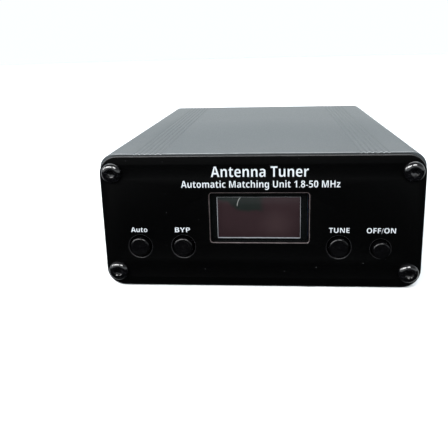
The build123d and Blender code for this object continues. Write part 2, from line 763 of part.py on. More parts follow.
def battery_pad():
    """Double sided foam between the pack and the lid."""
    width, length, _ = BATTERY
    return standing(width - 6, length - 8, BATTERY_PAD, 0, BATTERY_Y, battery_top())


def battery_header():
    floor = BOARD_TOP + HEADER_WALL
    width, length, height = HEADER
    well = standing(width - 2 * HEADER_WALL, length - 2 * HEADER_WALL, height, 0, HEADER_Y, floor)
    return standing(*HEADER, 0, HEADER_Y) - well


def battery_plug():
    return standing(*PLUG, 0, HEADER_Y, BOARD_TOP + HEADER_WALL)


def battery_leads():
    """Two wires from the end of the pack down into the plug."""
    leads = []
    start = BATTERY_Y + BATTERY[1] / 2
    top = battery_top() - BATTERY_LEAD_DROP
    plug_top = BOARD_TOP + HEADER_WALL + PLUG[2]
    for x in (-BATTERY_LEAD_X, BATTERY_LEAD_X):
        points = [(x, start, top), (x, HEADER_Y, top), (x, HEADER_Y, plug_top)]
        leads.append(wire_along(points, BATTERY_LEAD_BEND, LEAD_R))
    return leads


# ---------------------------------------------------------------- build


def build_nodes():
    """Every node's name with its solid or list of solids."""
    lower = bottom_shell()
    glass_front = DISPLAY_FRONT + POLARISER[2]
    carrier_front = glass_front + GLASS[2]
    nodes = {
        "bottom_shell": lower,
        "top_shell": top_shell(lower),
        "front_panel": front_panel(),
        "rear_panel": rear_panel(),
        "front_panel_screws": panel_screws(PANEL_FRONT, 90),
        "rear_panel_screws": panel_screws(PANEL_REAR, -90),
        "display_polariser": display_layer(POLARISER, POLARISER_Z - POLARISER[1] / 2, DISPLAY_FRONT),
        "display_glass": display_layer(GLASS, GLASS_BOTTOM, glass_front),
        "display_board": display_carrier(carrier_front),
        "display_pins": display_pins(carrier_front),
        "tact_switch_housings": [tact_housing(x) for x in BUTTON_X.values()],
        "power_switch_housing": power_switch_housing(),
        "power_switch_spring": power_spring(),
        "power_button": button_cap(
            POWER_R, POWER_PROUD, POWER_FLANGE_R, POWER_STEM_R, POWER_SLEEVE_REAR, POWER_X, POWER_Z
        ),
        "power_stem": rod(POWER_STEM_R, FLANGE_FRONT, POWER_STEM_REAR, POWER_X, POWER_Z),
        "socket_screws": socket_screws(),
        "socket_nuts": socket_nuts(),
        "socket_leads": socket_leads(),
        "ground_stud": rod(GROUND_STUD_R, GROUND_STUD_FRONT, GROUND_STUD_REAR, 0, GROUND_Z),
        "ground_lock_nuts": ground_lock_nuts(),
        "ground_lug": ground_lug(),
        "ground_lead": ground_lead(),
        "ground_washer": ground_washer(),
        "ground_thumb_nut": ground_thumb_nut(),
        "inlet_body": inlet_body(),
        "inlet_pin": inlet_pin(),
        "inlet_tags": inlet_tags(),
        "inlet_nut": hex_nut(
            INLET_NUT_FLATS, INLET_HOLE_R - 0.05, CASE_REAR - INLET_NUT_THICKNESS, CASE_REAR, 0, INLET_Z
        ),
        "inlet_leads": inlet_leads(),
        "main_board": main_board(),
        "capacitor_relays": relay_row(-RELAY_X, CAPACITOR_RELAYS),
        "inductor_relays": relay_row(RELAY_X, INDUCTOR_RELAYS),
        "toroid_cores": toroid_cores(),
        "toroid_windings": toroid_windings(),
        "air_coils": air_coils(),
        "bridge_cores": bridge_cores(),
        "bridge_lines": bridge_lines(),
        "tuning_capacitors": tuning_capacitors(),
        "controller_socket": controller_socket(),
        "controller_chip": chip(CONTROLLER_CHIP, 0, CONTROLLER_Y, BOARD_TOP + CONTROLLER_SOCKET[2]),
        "driver_chips": driver_chips(),
        "voltage_regulator": voltage_regulator(),
        "filter_capacitors": filter_capacitors(),
        "battery_pack": battery_pack(),
        "battery_pad": battery_pad(),
        "battery_header": battery_header(),
        "battery_plug": battery_plug(),
        "battery_leads": battery_leads(),
    }
    for name, x in BUTTON_X.items():
        nodes[f"{name}_button"] = small_cap(x)
        nodes[f"{name}_stem"] = small_stem(x)
    for name, x in SOCKET_X.items():
        nodes[f"{name}_socket_shell"] = socket_shell(x)
        nodes[f"{name}_socket_insulator"] = socket_insulator(x)
        nodes[f"{name}_socket_contact"] = socket_contact(x)
    return nodes


os.makedirs("parts", exist_ok=True)
for name, made in build_nodes().items():
    pieces = made if isinstance(made, list) else [made]
    solids = [solid for piece in pieces for solid in piece.solids()]
    export_step(Compound(children=solids), f"parts/{name}.step")
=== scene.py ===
import bpy, bmesh, json, math
from mathutils import Matrix, Vector


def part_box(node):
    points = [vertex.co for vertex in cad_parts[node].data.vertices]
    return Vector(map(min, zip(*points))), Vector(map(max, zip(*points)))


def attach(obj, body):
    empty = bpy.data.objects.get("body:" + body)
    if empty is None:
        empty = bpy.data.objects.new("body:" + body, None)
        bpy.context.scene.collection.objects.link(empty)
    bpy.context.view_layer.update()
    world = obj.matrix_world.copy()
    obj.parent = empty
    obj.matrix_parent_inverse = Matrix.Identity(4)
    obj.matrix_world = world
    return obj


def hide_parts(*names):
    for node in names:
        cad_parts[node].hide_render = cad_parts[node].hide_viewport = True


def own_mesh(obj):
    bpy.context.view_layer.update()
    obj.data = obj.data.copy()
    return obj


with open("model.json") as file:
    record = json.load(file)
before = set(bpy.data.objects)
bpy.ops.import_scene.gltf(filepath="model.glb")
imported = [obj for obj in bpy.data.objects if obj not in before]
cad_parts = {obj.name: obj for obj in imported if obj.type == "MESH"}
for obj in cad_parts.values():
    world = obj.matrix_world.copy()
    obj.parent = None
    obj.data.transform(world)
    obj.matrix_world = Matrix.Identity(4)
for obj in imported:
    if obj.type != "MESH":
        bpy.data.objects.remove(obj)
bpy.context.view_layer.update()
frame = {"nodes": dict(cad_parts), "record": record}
scene = bpy.context.scene
scene.view_settings.view_transform = "Standard"
mm = 0.001

# places that the pieces share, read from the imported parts
panelLow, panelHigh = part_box("front_panel")
rearLow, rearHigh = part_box("rear_panel")
frontY = panelLow.y
rearY = rearHigh.y
midZ = (panelLow.z + panelHigh.z) / 2
print("frame loaded,", len(frame["nodes"]), "nodes")


# mesh helpers


def shadeSoft(shape, limit=32):
    # smooth faces, kept sharp where they meet at more than the limit
    for face in shape.faces:
        face.smooth = True
    for edge in shape.edges:
        if len(edge.link_faces) == 2:
            edge.smooth = edge.calc_face_angle() < math.radians(limit)


def addPiece(name, shape, finishes=(), body=None, nodes=()):
    shadeSoft(shape)
    mesh = bpy.data.meshes.new(name)
    shape.to_mesh(mesh)
    shape.free()
    piece = bpy.data.objects.new(name, mesh)
    scene.collection.objects.link(piece)
    for finish in finishes:
        mesh.materials.append(finish)
    if body:
        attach(piece, body)
    if nodes:
        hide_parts(*nodes)
    return piece


def closeUp(shape, gap=0.0004 * mm):
    # join what meets, then turn every face outwards
    bmesh.ops.remove_doubles(shape, verts=shape.verts[:], dist=gap)
    bmesh.ops.dissolve_degenerate(shape, dist=gap, edges=shape.edges[:])
    bmesh.ops.recalc_face_normals(shape, faces=shape.faces[:])


def lathe(points, steps=48):
    # a profile of (radius, distance) in mm, turned once about the Y axis
    shape = bmesh.new()
    ring = [shape.verts.new((r * mm, d * mm, 0)) for r, d in points]
    edges = [shape.edges.new(pair) for pair in zip(ring, ring[1:])]
    bmesh.ops.spin(shape, geom=ring + edges, cent=(0, 0, 0), axis=(0, 1, 0), angle=2 * math.pi,
                   steps=steps, use_merge=True, use_duplicate=False)
    closeUp(shape)
    return shape


def corner(radius, middle, start, end, steps):
    # points on an arc of a profile, angles in degrees
    turns = [math.radians(start + (end - start) * i / steps) for i in range(steps + 1)]
    return [(middle[0] + radius * math.cos(a), middle[1] + radius * math.sin(a)) for a in turns]


def softBlock(shape, low, high, edge, segments=2):
    # a box between two corners in metres, with rounded edges
    made = bmesh.ops.create_cube(shape, size=1)["verts"]
    size = [b - a for a, b in zip(low, high)]
    middle = [(a + b) / 2 for a, b in zip(low, high)]
    bmesh.ops.scale(shape, vec=size, verts=made)
    bmesh.ops.translate(shape, vec=middle, verts=made)
    edges = list({e for v in made for e in v.link_edges})
    bmesh.ops.bevel(shape, geom=edges, offset=edge, offset_type="OFFSET", affect="EDGES",
                    segments=segments, profile=0.5, material=-1)


def pourIn(shape, mesh):
    # adds a mesh to a shape and returns the vertices that came with it
    held = set(shape.verts)
    shape.from_mesh(mesh)
    return [v for v in shape.verts if v not in held]


def copyInto(shape, source, places):
    # puts copies of a shape at several places
    mesh = bpy.data.meshes.new("copy")
    source.to_mesh(mesh)
    source.free()
    for place in places:
        bmesh.ops.transform(shape, matrix=place, verts=pourIn(shape, mesh))
    bpy.data.meshes.remove(mesh)


def cutThread(shape, radius, depth, pitch, start, end):
    # moves the wall of a turned stretch in and out along a helix, lengths in mm
    for v in shape.verts:
        reach = math.hypot(v.co.x, v.co.z)
        along = v.co.y / mm
        if abs(reach - radius * mm) > 0.01 * mm or not start < along < end:
            continue
        turn = math.atan2(v.co.z, v.co.x) / (2 * math.pi)
        wave = abs(((along / pitch + turn) % 1) * 2 - 1)
        fade = min(1, (along - start) / pitch, (end - along) / pitch)
        share = 1 - wave * fade * depth / radius
        v.co.x *= share
        v.co.z *= share


# camera and light

cameraLook = {
    "place": (4.31, -195.04, 65.89),  # mm
    "turn": (0.2468, 0.0766, -0.0238),  # down, left and roll, in radians
    "lens": 42.74,
    "shift": (-0.02, -0.10),
}


def makeCamera(look):
    data = bpy.data.cameras.new("camera")
    data.lens = look["lens"]
    data.sensor_width = 36
    data.shift_x, data.shift_y = look["shift"]
    data.clip_start, data.clip_end = 0.01, 20
    camera = bpy.data.objects.new("camera", data)
    scene.collection.objects.link(camera)
    down, left, roll = look["turn"]
    turned = Matrix.Rotation(down, 3, "X") @ Matrix.Rotation(left, 3, "Y") @ Matrix.Rotation(roll, 3, "Z")
    yDown = Matrix(((1, 0, 0), (0, 0, -1), (0, 1, 0)))  # from Z up to the turn's own axes
    lookBack = Matrix(((1, 0, 0), (0, -1, 0), (0, 0, -1)))
    place = Matrix.Translation(Vector(look["place"]) * mm)
    camera.matrix_world = place @ (lookBack @ turned @ yDown).inverted().to_4x4()
    scene.camera = camera


studioLook = {
    "backLight": (0.98, 1.04, 1.06),  # the bright half, behind the object, near the horizon
    "highLight": (1.16, 1.32, 1.40),  # the same half, from 12 to 35 degrees up and over
    "frontLight": (0.92, 0.97, 1.00),  # the viewer's half, near the horizon
    "dimLight": (0.27, 0.28, 0.29),  # the same half, from 12 to 25 degrees up and over
    "lowLight": (0.006, 0.006, 0.007),  # under the horizon on the viewer's side, where the floor hides it
    "floor": (0.90, 0.92, 0.94),
    "lamps": [
        # name, place, aim, size in metres, radiance
        ("ceiling", (0, 1.6, 2.6), (0, 0, 0), (4.0, 2.6), 2.4),
        ("stripLeft", (-0.44, -0.68, 0.52), (0, 0, 0.02), (0.74, 0.32), 13.5),
        ("stripRight", (0.20, -0.76, 0.58), (0, 0, 0.02), (0.34, 0.30), 15.0),
        ("sideLeft", (-0.86, -0.24, 0.38), (0, 0, 0.02), (0.34, 0.32), 8.5),
    ],
}


def mapRange(nodes, links, source, low, high):
    # a smooth step from 0 at low to 1 at high
    step = nodes.new("ShaderNodeMapRange")
    step.interpolation_type = "SMOOTHSTEP"
    step.inputs["From Min"].default_value = low
    step.inputs["From Max"].default_value = high
    links.new(source, step.inputs["Value"])
    return step.outputs["Result"]


def mixColour(nodes, links, factor, first, second):
    # first and second are colours or sockets
    mix = nodes.new("ShaderNodeMix")
    mix.data_type = "RGBA"
    links.new(factor, mix.inputs["Factor"])
    for value, socket in ((first, mix.inputs[6]), (second, mix.inputs[7])):
        if isinstance(value, tuple):
            socket.default_value = (*value, 1)
        else:
            links.new(value, socket)
    return mix.outputs[2]


def sums(nodes, links, operation, first, second):
    # a Math node on sockets or numbers
    node = nodes.new("ShaderNodeMath")
    node.operation = operation
    for value, socket in zip((first, second), node.inputs):
        if isinstance(value, (int, float)):
            socket.default_value = value
        else:
            links.new(value, socket)
    return node.outputs[0]


def makeStudio(look):
    world = bpy.data.worlds.new("studio")
    world.use_nodes = True
    scene.world = world
    nodes, links = world.node_tree.nodes, world.node_tree.links
    place = nodes.new("ShaderNodeTexCoord")
    split = nodes.new("ShaderNodeSeparateXYZ")
    links.new(place.outputs["Generated"], split.inputs[0])
    raised = sums(nodes, links, "MULTIPLY", split.outputs["Z"], 0.10)
    backward = sums(nodes, links, "ADD", split.outputs["Y"], raised)
    aboveFloor = mapRange(nodes, links, split.outputs["Z"], -0.05, -0.01)
    isBack = mapRange(nodes, links, backward, 0.12, 0.55)
    isDim = mapRange(nodes, links, split.outputs["Z"], 0.16, 0.44)
    front = mixColour(nodes, links, isDim, look["frontLight"], look["dimLight"])
    front = mixColour(nodes, links, aboveFloor, look["lowLight"], front)
    isHigh = mapRange(nodes, links, split.outputs["Z"], 0.10, 0.50)
    back = mixColour(nodes, links, isHigh, look["backLight"], look["highLight"])
    light = mixColour(nodes, links, isBack, front, back)
    links.new(light, nodes["Background"].inputs["Color"])
    for name, spot, aim, size, radiance in look["lamps"]:
        lamp = bpy.data.lights.new(name, "AREA")
        lamp.shape = "RECTANGLE"
        lamp.size, lamp.size_y = size
        lamp.energy = radiance * math.pi * size[0] * size[1]
        holder = bpy.data.objects.new(name, lamp)
        scene.collection.objects.link(holder)
        holder.location = spot
        holder.rotation_euler = (Vector(aim) - Vector(spot)).to_track_quat("-Z", "Y").to_euler()
    sheet = bmesh.new()
    bmesh.ops.create_circle(sheet, cap_ends=True, segments=96, radius=3.0)
    floor = addPiece("floor", sheet, [surface("paleFloor", {
        "colour": look["floor"], "spread": 0.01, "cloud": 4, "rough": 0.85, "gloss": 0.1})])
    floor.visible_glossy = False  # mirror-like pieces see the dim low light in its place


# finishes


def newFinish(name):
    finish = bpy.data.materials.new(name)
    finish.use_nodes = True
    tree = finish.node_tree
    return finish, tree.nodes, tree.links, tree.nodes["Principled BSDF"]


def noise(nodes, links, place, scale, detail=3):
    # noise on Object coordinates, its scale per metre
    made = nodes.new("ShaderNodeTexNoise")
    made.inputs["Scale"].default_value = scale
    made.inputs["Detail"].default_value = detail
    links.new(place.outputs["Object"], made.inputs["Vector"])
    return made


def surface(name, look):
    # soft clouds in colour, with a fine grain in roughness and bump; scales are per metre
    finish, nodes, links, shader = newFinish(name)
    place = nodes.new("ShaderNodeTexCoord")
    clouds = noise(nodes, links, place, look.get("cloud", 120), 4)
    tint = nodes.new("ShaderNodeMix")
    tint.data_type = "RGBA"
    spread = look.get("spread", 0.12)
    colour = look["colour"]
    dark = look.get("dark", [c * (1 - spread) for c in colour])
    tint.inputs[6].default_value = (*dark, 1)
    tint.inputs[7].default_value = (*[min(1, c * (1 + spread)) for c in colour], 1)
    links.new(clouds.outputs["Fac"], tint.inputs["Factor"])
    links.new(tint.outputs[2], shader.inputs["Base Color"])
    grain = noise(nodes, links, place, look.get("grain", 2500))
    rough = nodes.new("ShaderNodeMapRange")
    roughSpread = look.get("roughSpread", 0.04)
    rough.inputs["From Min"].default_value = 0.3
    rough.inputs["From Max"].default_value = 0.7
    rough.inputs["To Min"].default_value = look["rough"] - roughSpread
    rough.inputs["To Max"].default_value = look["rough"] + roughSpread
    links.new(grain.outputs["Fac"], rough.inputs["Value"])
    links.new(rough.outputs["Result"], shader.inputs["Roughness"])
    if look.get("bump"):
        bump = nodes.new("ShaderNodeBump")
        bump.inputs["Strength"].default_value = look["bump"]
        bump.inputs["Distance"].default_value = look.get("bumpDepth", 0.02) * mm
        links.new(grain.outputs["Fac"], bump.inputs["Height"])
        links.new(bump.outputs["Normal"], shader.inputs["Normal"])
    shader.inputs["Metallic"].default_value = look.get("metal", 0)
    shader.inputs["Specular IOR Level"].default_value = look.get("gloss", 0.5)
    if look.get("coat"):
        shader.inputs["Coat Weight"].default_value = look["coat"]
        shader.inputs["Coat Roughness"].default_value = 0.08
    return finish


def panelAnodising():
    # near black satin plate with a few specks of dust caught in its grain
    finish = surface("panelAnodising", {
        "colour": (0.0005, 0.00055, 0.0006), "spread": 0.35, "cloud": 45, "rough": 0.36,
        "grain": 5200, "bump": 0.2, "bumpDepth": 0.005, "gloss": 0.045})
    nodes, links = finish.node_tree.nodes, finish.node_tree.links
    shader = nodes["Principled BSDF"]
    place = nodes.new("ShaderNodeTexCoord")
    split = nodes.new("ShaderNodeSeparateXYZ")
    flat = nodes.new("ShaderNodeCombineXYZ")
    specks = nodes.new("ShaderNodeTexVoronoi")
    specks.voronoi_dimensions = "2D"
    specks.inputs["Scale"].default_value = 130
    isSpeck = nodes.new("ShaderNodeMapRange")
    isSpeck.inputs["From Min"].default_value = 0.016
    isSpeck.inputs["From Max"].default_value = 0.006
    choose = nodes.new("ShaderNodeMath")
    choose.operation = "MULTIPLY"
    chosen = nodes.new("ShaderNodeMapRange")
    chosen.inputs["From Min"].default_value = 0.55
    chosen.inputs["From Max"].default_value = 0.9
    mix = nodes.new("ShaderNodeMix")
    mix.data_type = "RGBA"
    mix.inputs[7].default_value = (0.09, 0.092, 0.095, 1)
    links.new(place.outputs["Object"], split.inputs[0])
    links.new(split.outputs["X"], flat.inputs["X"])
    links.new(split.outputs["Z"], flat.inputs["Y"])
    links.new(flat.outputs[0], specks.inputs["Vector"])
    links.new(specks.outputs["Distance"], isSpeck.inputs["Value"])
    links.new(specks.outputs["Color"], chosen.inputs["Value"])
    links.new(isSpeck.outputs["Result"], choose.inputs[0])
    links.new(chosen.outputs["Result"], choose.inputs[1])
    base = shader.inputs["Base Color"].links[0].from_socket
    links.new(base, mix.inputs[6])
    links.new(choose.outputs[0], mix.inputs["Factor"])
    links.new(mix.outputs[2], shader.inputs["Base Color"])
    return finish


def bareEdge():
    # a routed edge: bright metal here, dark residue there
    return surface("bareEdge", {
        "colour": (0.11, 0.090, 0.090), "dark": (0.008, 0.004, 0.004), "cloud": 850, "rough": 0.45,
        "grain": 3000, "bump": 0.7, "bumpDepth": 0.03, "metal": 0.25})


def displayFilm():
    # dark brown film with painted reflections: a greenish patch high on the left, paler low on the right,
    # and one fine painted glare arc
    finish = surface("displayFilm", {
        "colour": (0.0145, 0.0084, 0.0095), "spread": 0.22, "cloud": 60, "rough": 0.14,
        "roughSpread": 0.02, "grain": 600, "gloss": 0.16})
    nodes, links = finish.node_tree.nodes, finish.node_tree.links
    shader = nodes["Principled BSDF"]
    low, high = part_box("display_polariser")
    place = nodes.new("ShaderNodeTexCoord")
    split = nodes.new("ShaderNodeSeparateXYZ")
    links.new(place.outputs["Object"], split.inputs[0])
    across, up = split.outputs["X"], split.outputs["Z"]
    wobble = noise(nodes, links, place, 260, 2)
    # the painted green reflection hangs lowest at the middle
    lean = sums(nodes, links, "MULTIPLY", across, 0.31)
    swing = sums(nodes, links, "MULTIPLY", wobble.outputs["Fac"], 0.0050)
    edge = sums(nodes, links, "ADD", sums(nodes, links, "ADD", up, lean), swing)
    rises = mapRange(nodes, links, edge, high.z - 3.0 * mm, high.z - 1.4 * mm)
    leftSide = mapRange(nodes, links, across, 1.6 * mm, -0.6 * mm)
    paintedGreenReflection = sums(nodes, links, "MULTIPLY", rises, leftSide)
    base = shader.inputs["Base Color"].links[0].from_socket
    tinted = mixColour(nodes, links, paintedGreenReflection, base, (0.0065, 0.0085, 0.0077))
    # painted reflection: paler towards the lower right
    spot = nodes.new("ShaderNodeVectorMath")
    spot.operation = "DISTANCE"
    spot.inputs[1].default_value = (4.5 * mm, low.y, low.z + 3.6 * mm)
    links.new(place.outputs["Object"], spot.inputs[0])
    pale = mapRange(nodes, links, spot.outputs["Value"], 6.5 * mm, 0.0)
    pale = sums(nodes, links, "MULTIPLY", pale, 0.55)
    tinted = mixColour(nodes, links, pale, tinted, (0.027, 0.017, 0.018))
    # a painted highlight: a short thin glare arc high on the left
    ring = nodes.new("ShaderNodeVectorMath")
    ring.operation = "DISTANCE"
    ring.inputs[1].default_value = (-2.4 * mm, low.y, high.z - 2.6 * mm)
    links.new(place.outputs["Object"], ring.inputs[0])
    away = sums(nodes, links, "SUBTRACT", ring.outputs["Value"], 3.9 * mm)
    away = sums(nodes, links, "ABSOLUTE", away, 0)
    line = mapRange(nodes, links, away, 0.13 * mm, 0.04 * mm)
    leftOnly = mapRange(nodes, links, across, -4.4 * mm, -5.2 * mm)
    highOnly = mapRange(nodes, links, up, high.z - 2.8 * mm, high.z - 2.2 * mm)
    paintedGlareArc = sums(nodes, links, "MULTIPLY", line, sums(nodes, links, "MULTIPLY", leftOnly, highOnly))
    tinted = mixColour(nodes, links, paintedGlareArc, tinted, (0.16, 0.165, 0.16))
    links.new(tinted, shader.inputs["Base Color"])
    return finish


finishes = {
    "caseAnodising": surface("caseAnodising", {
        "colour": (0.0200, 0.0268, 0.0302), "spread": 0.12, "cloud": 30, "rough": 0.42, "roughSpread": 0.05,
        "grain": 2600, "bump": 0.15, "bumpDepth": 0.010}),
    "panelAnodising": panelAnodising(),
    "bareEdge": bareEdge(),
    "plateSide": surface("plateSide", {
        "colour": (0.0022, 0.0022, 0.0024), "cloud": 300, "rough": 0.7, "grain": 2500, "bump": 0.4,
        "gloss": 0.05}),
    "plateEdge": surface("plateEdge", {
        "colour": (0.009, 0.009, 0.010), "spread": 0.5, "cloud": 500, "rough": 0.30, "grain": 3000,
        "bump": 0.3, "gloss": 0.40}),
    "sawnEdge": surface("sawnEdge", {
        "colour": (0.20, 0.21, 0.22), "spread": 0.45, "cloud": 700, "rough": 0.35, "grain": 3000,
        "bump": 0.3, "metal": 0.6}),
    "panelPrint": surface("panelPrint", {
        "colour": (0.37, 0.395, 0.42), "spread": 0.08, "cloud": 900, "rough": 0.6, "grain": 4000,
        "bump": 0.3}),
    "blackOxide": surface("blackOxide", {
        "colour": (0.0015, 0.0015, 0.0018), "spread": 0.3, "cloud": 500, "rough": 0.10, "roughSpread": 0.04,
        "grain": 3500, "bump": 0.12, "bumpDepth": 0.01, "gloss": 0.90}),
    "keyPlastic": surface("keyPlastic", {
        "colour": (0.0010, 0.0010, 0.0012), "spread": 0.2, "cloud": 300, "rough": 0.18, "roughSpread": 0.04,
        "grain": 3000, "bump": 0.08, "bumpDepth": 0.01, "gloss": 0.36}),
    "switchPlastic": surface("switchPlastic", {
        "colour": (0.012, 0.012, 0.012), "rough": 0.5, "grain": 2500, "bump": 0.2}),
    "displayFilm": displayFilm(),
    "displayGlass": surface("displayGlass", {
        "colour": (0.002, 0.0024, 0.0024), "spread": 0.3, "cloud": 90, "rough": 0.10, "roughSpread": 0.02,
        "grain": 500, "gloss": 0.12}),
    # light grey that stands in for light caught on the display film's cut edges: painted highlight
    "filmEdge": surface("filmEdge", {
        "colour": (0.23, 0.245, 0.265), "dark": (0.08, 0.085, 0.09), "cloud": 350, "rough": 0.35,
        "grain": 2000}),
    "displayLaminate": surface("displayLaminate", {
        "colour": (0.010, 0.026, 0.085), "rough": 0.35, "grain": 1500, "bump": 0.1, "coat": 0.4}),
    "boardLaminate": surface("boardLaminate", {
        "colour": (0.014, 0.115, 0.040), "cloud": 260, "rough": 0.35, "grain": 1800, "bump": 0.15,
        "coat": 0.5}),
    "tinPlate": surface("tinPlate", {
        "colour": (0.66, 0.66, 0.64), "cloud": 700, "rough": 0.28, "grain": 2500, "bump": 0.2,
        "metal": 1.0}),
    "springSteel": surface("springSteel", {
        "colour": (0.42, 0.42, 0.43), "cloud": 800, "rough": 0.3, "grain": 3000, "metal": 1.0}),
    "nickelPlate": surface("nickelPlate", {
        "colour": (0.62, 0.59, 0.54), "cloud": 220, "rough": 0.24, "roughSpread": 0.05, "grain": 2600,
        "bump": 0.12, "bumpDepth": 0.01, "metal": 1.0}),
    "fluoroplastic": surface("fluoroplastic", {
        "colour": (0.80, 0.79, 0.75), "spread": 0.05, "cloud": 300, "rough": 0.45, "grain": 1500,
        "bump": 0.1}),
    "silverPlate": surface("silverPlate", {
        "colour": (0.80, 0.76, 0.62), "cloud": 600, "rough": 0.25, "grain": 2500, "metal": 1.0}),
    "zincSteel": surface("zincSteel", {
        "colour": (0.58, 0.60, 0.63), "cloud": 500, "rough": 0.32, "grain": 2600, "bump": 0.15,
        "metal": 1.0}),
    "turnedBrass": surface("turnedBrass", {
        "colour": (0.66, 0.46, 0.20), "cloud": 300, "rough": 0.27, "grain": 2400, "bump": 0.15,
        "metal": 1.0}),
    "inletPlastic": surface("inletPlastic", {
        "colour": (0.010, 0.010, 0.011), "rough": 0.38, "grain": 2200, "bump": 0.15}),
    "relayCase": surface("relayCase", {
        "colour": (0.66, 0.66, 0.63), "spread": 0.04, "cloud": 90, "rough": 0.4, "grain": 1800,
        "bump": 0.15}),
    "ironPowder": surface("ironPowder", {
        "colour": (0.42, 0.03, 0.02), "cloud": 400, "rough": 0.42, "grain": 1400, "bump": 0.3,
        "coat": 0.3}),
    "enamelledCopper": surface("enamelledCopper", {
        "colour": (0.55, 0.17, 0.06), "cloud": 300, "rough": 0.24, "grain": 2000, "metal": 0.9,
        "coat": 0.4}),
    "ferrite": surface("ferrite", {
        "colour": (0.045, 0.045, 0.048), "cloud": 500, "rough": 0.6, "grain": 1600, "bump": 0.4}),
    "ceramic": surface("ceramic", {
        "colour": (0.45, 0.25, 0.10), "cloud": 600, "rough": 0.5, "grain": 2000, "bump": 0.2}),
    "chipMoulding": surface("chipMoulding", {
        "colour": (0.016, 0.016, 0.017), "cloud": 300, "rough": 0.55, "grain": 3200, "bump": 0.4}),
    "capacitorCan": surface("capacitorCan", {
        "colour": (0.66, 0.67, 0.69), "cloud": 250, "rough": 0.3, "grain": 2600, "metal": 1.0}),
    "batteryFilm": surface("batteryFilm", {
        "colour": (0.02, 0.085, 0.34), "spread": 0.08, "cloud": 60, "rough": 0.3, "grain": 500, "bump": 0.4,
        "bumpDepth": 0.05}),
    "foam": surface("foam", {
        "colour": (0.10, 0.10, 0.105), "cloud": 800, "rough": 0.9, "grain": 2200, "bump": 0.9,
        "bumpDepth": 0.1}),
    "connectorPlastic": surface("connectorPlastic", {
        "colour": (0.74, 0.70, 0.56), "spread": 0.05, "rough": 0.45, "grain": 2000, "bump": 0.15}),
    "leadInsulation": surface("leadInsulation", {
        "colour": (0.45, 0.02, 0.016), "cloud": 200, "rough": 0.42, "grain": 1500, "bump": 0.2}),
}
print("finishes made,", len(finishes))

slotFinish = {
    "case_anodising": "caseAnodising", "panel_anodising": "panelAnodising",
    "black_screw_steel": "blackOxide", "key_plastic": "keyPlastic",
    "switch_plastic": "switchPlastic", "display_film": "displayFilm",
    "display_glass": "displayGlass", "display_laminate": "displayLaminate",
    "board_laminate": "boardLaminate", "tin_plate": "tinPlate", "spring_steel": "springSteel",
    "nickel_plate": "nickelPlate", "socket_insulator": "fluoroplastic",
    "silver_contact": "silverPlate", "zinc_steel": "zincSteel", "ground_brass": "turnedBrass",
    "inlet_plastic": "inletPlastic", "relay_case": "relayCase", "iron_powder_core": "ironPowder",
    "enamelled_copper": "enamelledCopper", "ferrite": "ferrite", "ceramic": "ceramic",
    "chip_moulding": "chipMoulding", "capacitor_can": "capacitorCan", "battery_film": "batteryFilm",
    "foam": "foam", "connector_plastic": "connectorPlastic", "lead_insulation": "leadInsulation",
}


def paintNodes():
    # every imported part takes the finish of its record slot
    for part in frame["record"]["subparts"]:
        slots = frame["nodes"][part["node"]].data.materials
        slots.clear()
        slots.append(finishes[slotFinish[part["material_slot"]]])


# case halves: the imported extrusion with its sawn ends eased

caseLook = {
    "easedEdge": 0.10,
    "grooveDepth": 0.35,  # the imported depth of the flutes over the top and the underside
    "shownDepth": 0.20,  # their depth in this model
}


def easedHalf(name, node):
    shape = bmesh.new()
    shape.from_mesh(frame["nodes"][node].data)
    bmesh.ops.remove_doubles(shape, verts=shape.verts[:], dist=0.001 * mm)
    bmesh.ops.dissolve_limit(shape, angle_limit=math.radians(0.5), verts=shape.verts[:],
                             edges=shape.edges[:])
    low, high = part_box(node)
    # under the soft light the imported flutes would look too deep
    for v in shape.verts:
        for face, inward in ((high.z, -1), (low.z, 1)):
            if abs(v.co.z - face - inward * caseLook["grooveDepth"] * mm) < 0.01 * mm:
                v.co.z = face + inward * caseLook["shownDepth"] * mm
    ends = []
    for edge in shape.edges:
        a, b = (v.co.y for v in edge.verts)
        for end in (low.y, high.y):
            if abs(a - end) < 0.01 * mm and abs(b - end) < 0.01 * mm:
                ends.append(edge)
    bmesh.ops.bevel(shape, geom=ends, offset=caseLook["easedEdge"] * mm, offset_type="OFFSET",
                    affect="EDGES", segments=2, profile=0.5, material=1, clamp_overlap=True)
    addPiece(name, shape, [finishes["caseAnodising"], finishes["sawnEdge"]], "chassis",
             [node])


# end plates: flat curves with rounded edges

plateLook = {
    "corner": 5.0, "edgeRound": 0.2,
    "window": (-0.2, 20.3, 27.0, 14.1, 0.7),  # centre X and Z, width, height, corner
    "keyHole": 3.3, "powerHole": 2.78, "screwHole": 1.65,
    "screwX": 40.2, "screwRise": 14.2,
    "socketHole": 8.1, "groundHole": 2.1, "inletHole": 4.1,
}


def nodeCentre(node):
    low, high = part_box(node)
    return (low.x + high.x) / 2 / mm, (low.z + high.z) / 2 / mm


def roundedOutline(curve, x, z, width, height, radius, steps=10):
    # one closed spline of short straight pieces, with a quarter circle at each corner
    points = []
    for sx, sz, start in ((1, 1, 0), (-1, 1, 90), (-1, -1, 180), (1, -1, 270)):
        middle = (x + sx * (width / 2 - radius), z + sz * (height / 2 - radius))
        arc = corner(radius, middle, start, start + 90, steps)
        if points and math.dist(points[-1], arc[0]) < 0.001:
            arc = arc[1:]
        points += arc
    if math.dist(points[0], points[-1]) < 0.001:
        points.pop()
    spline = curve.splines.new("POLY")
    spline.use_cyclic_u = True
    spline.points.add(len(points) - 1)
    for point, (px, pz) in zip(spline.points, points):
        point.co = (px * mm, pz * mm, 0, 1)


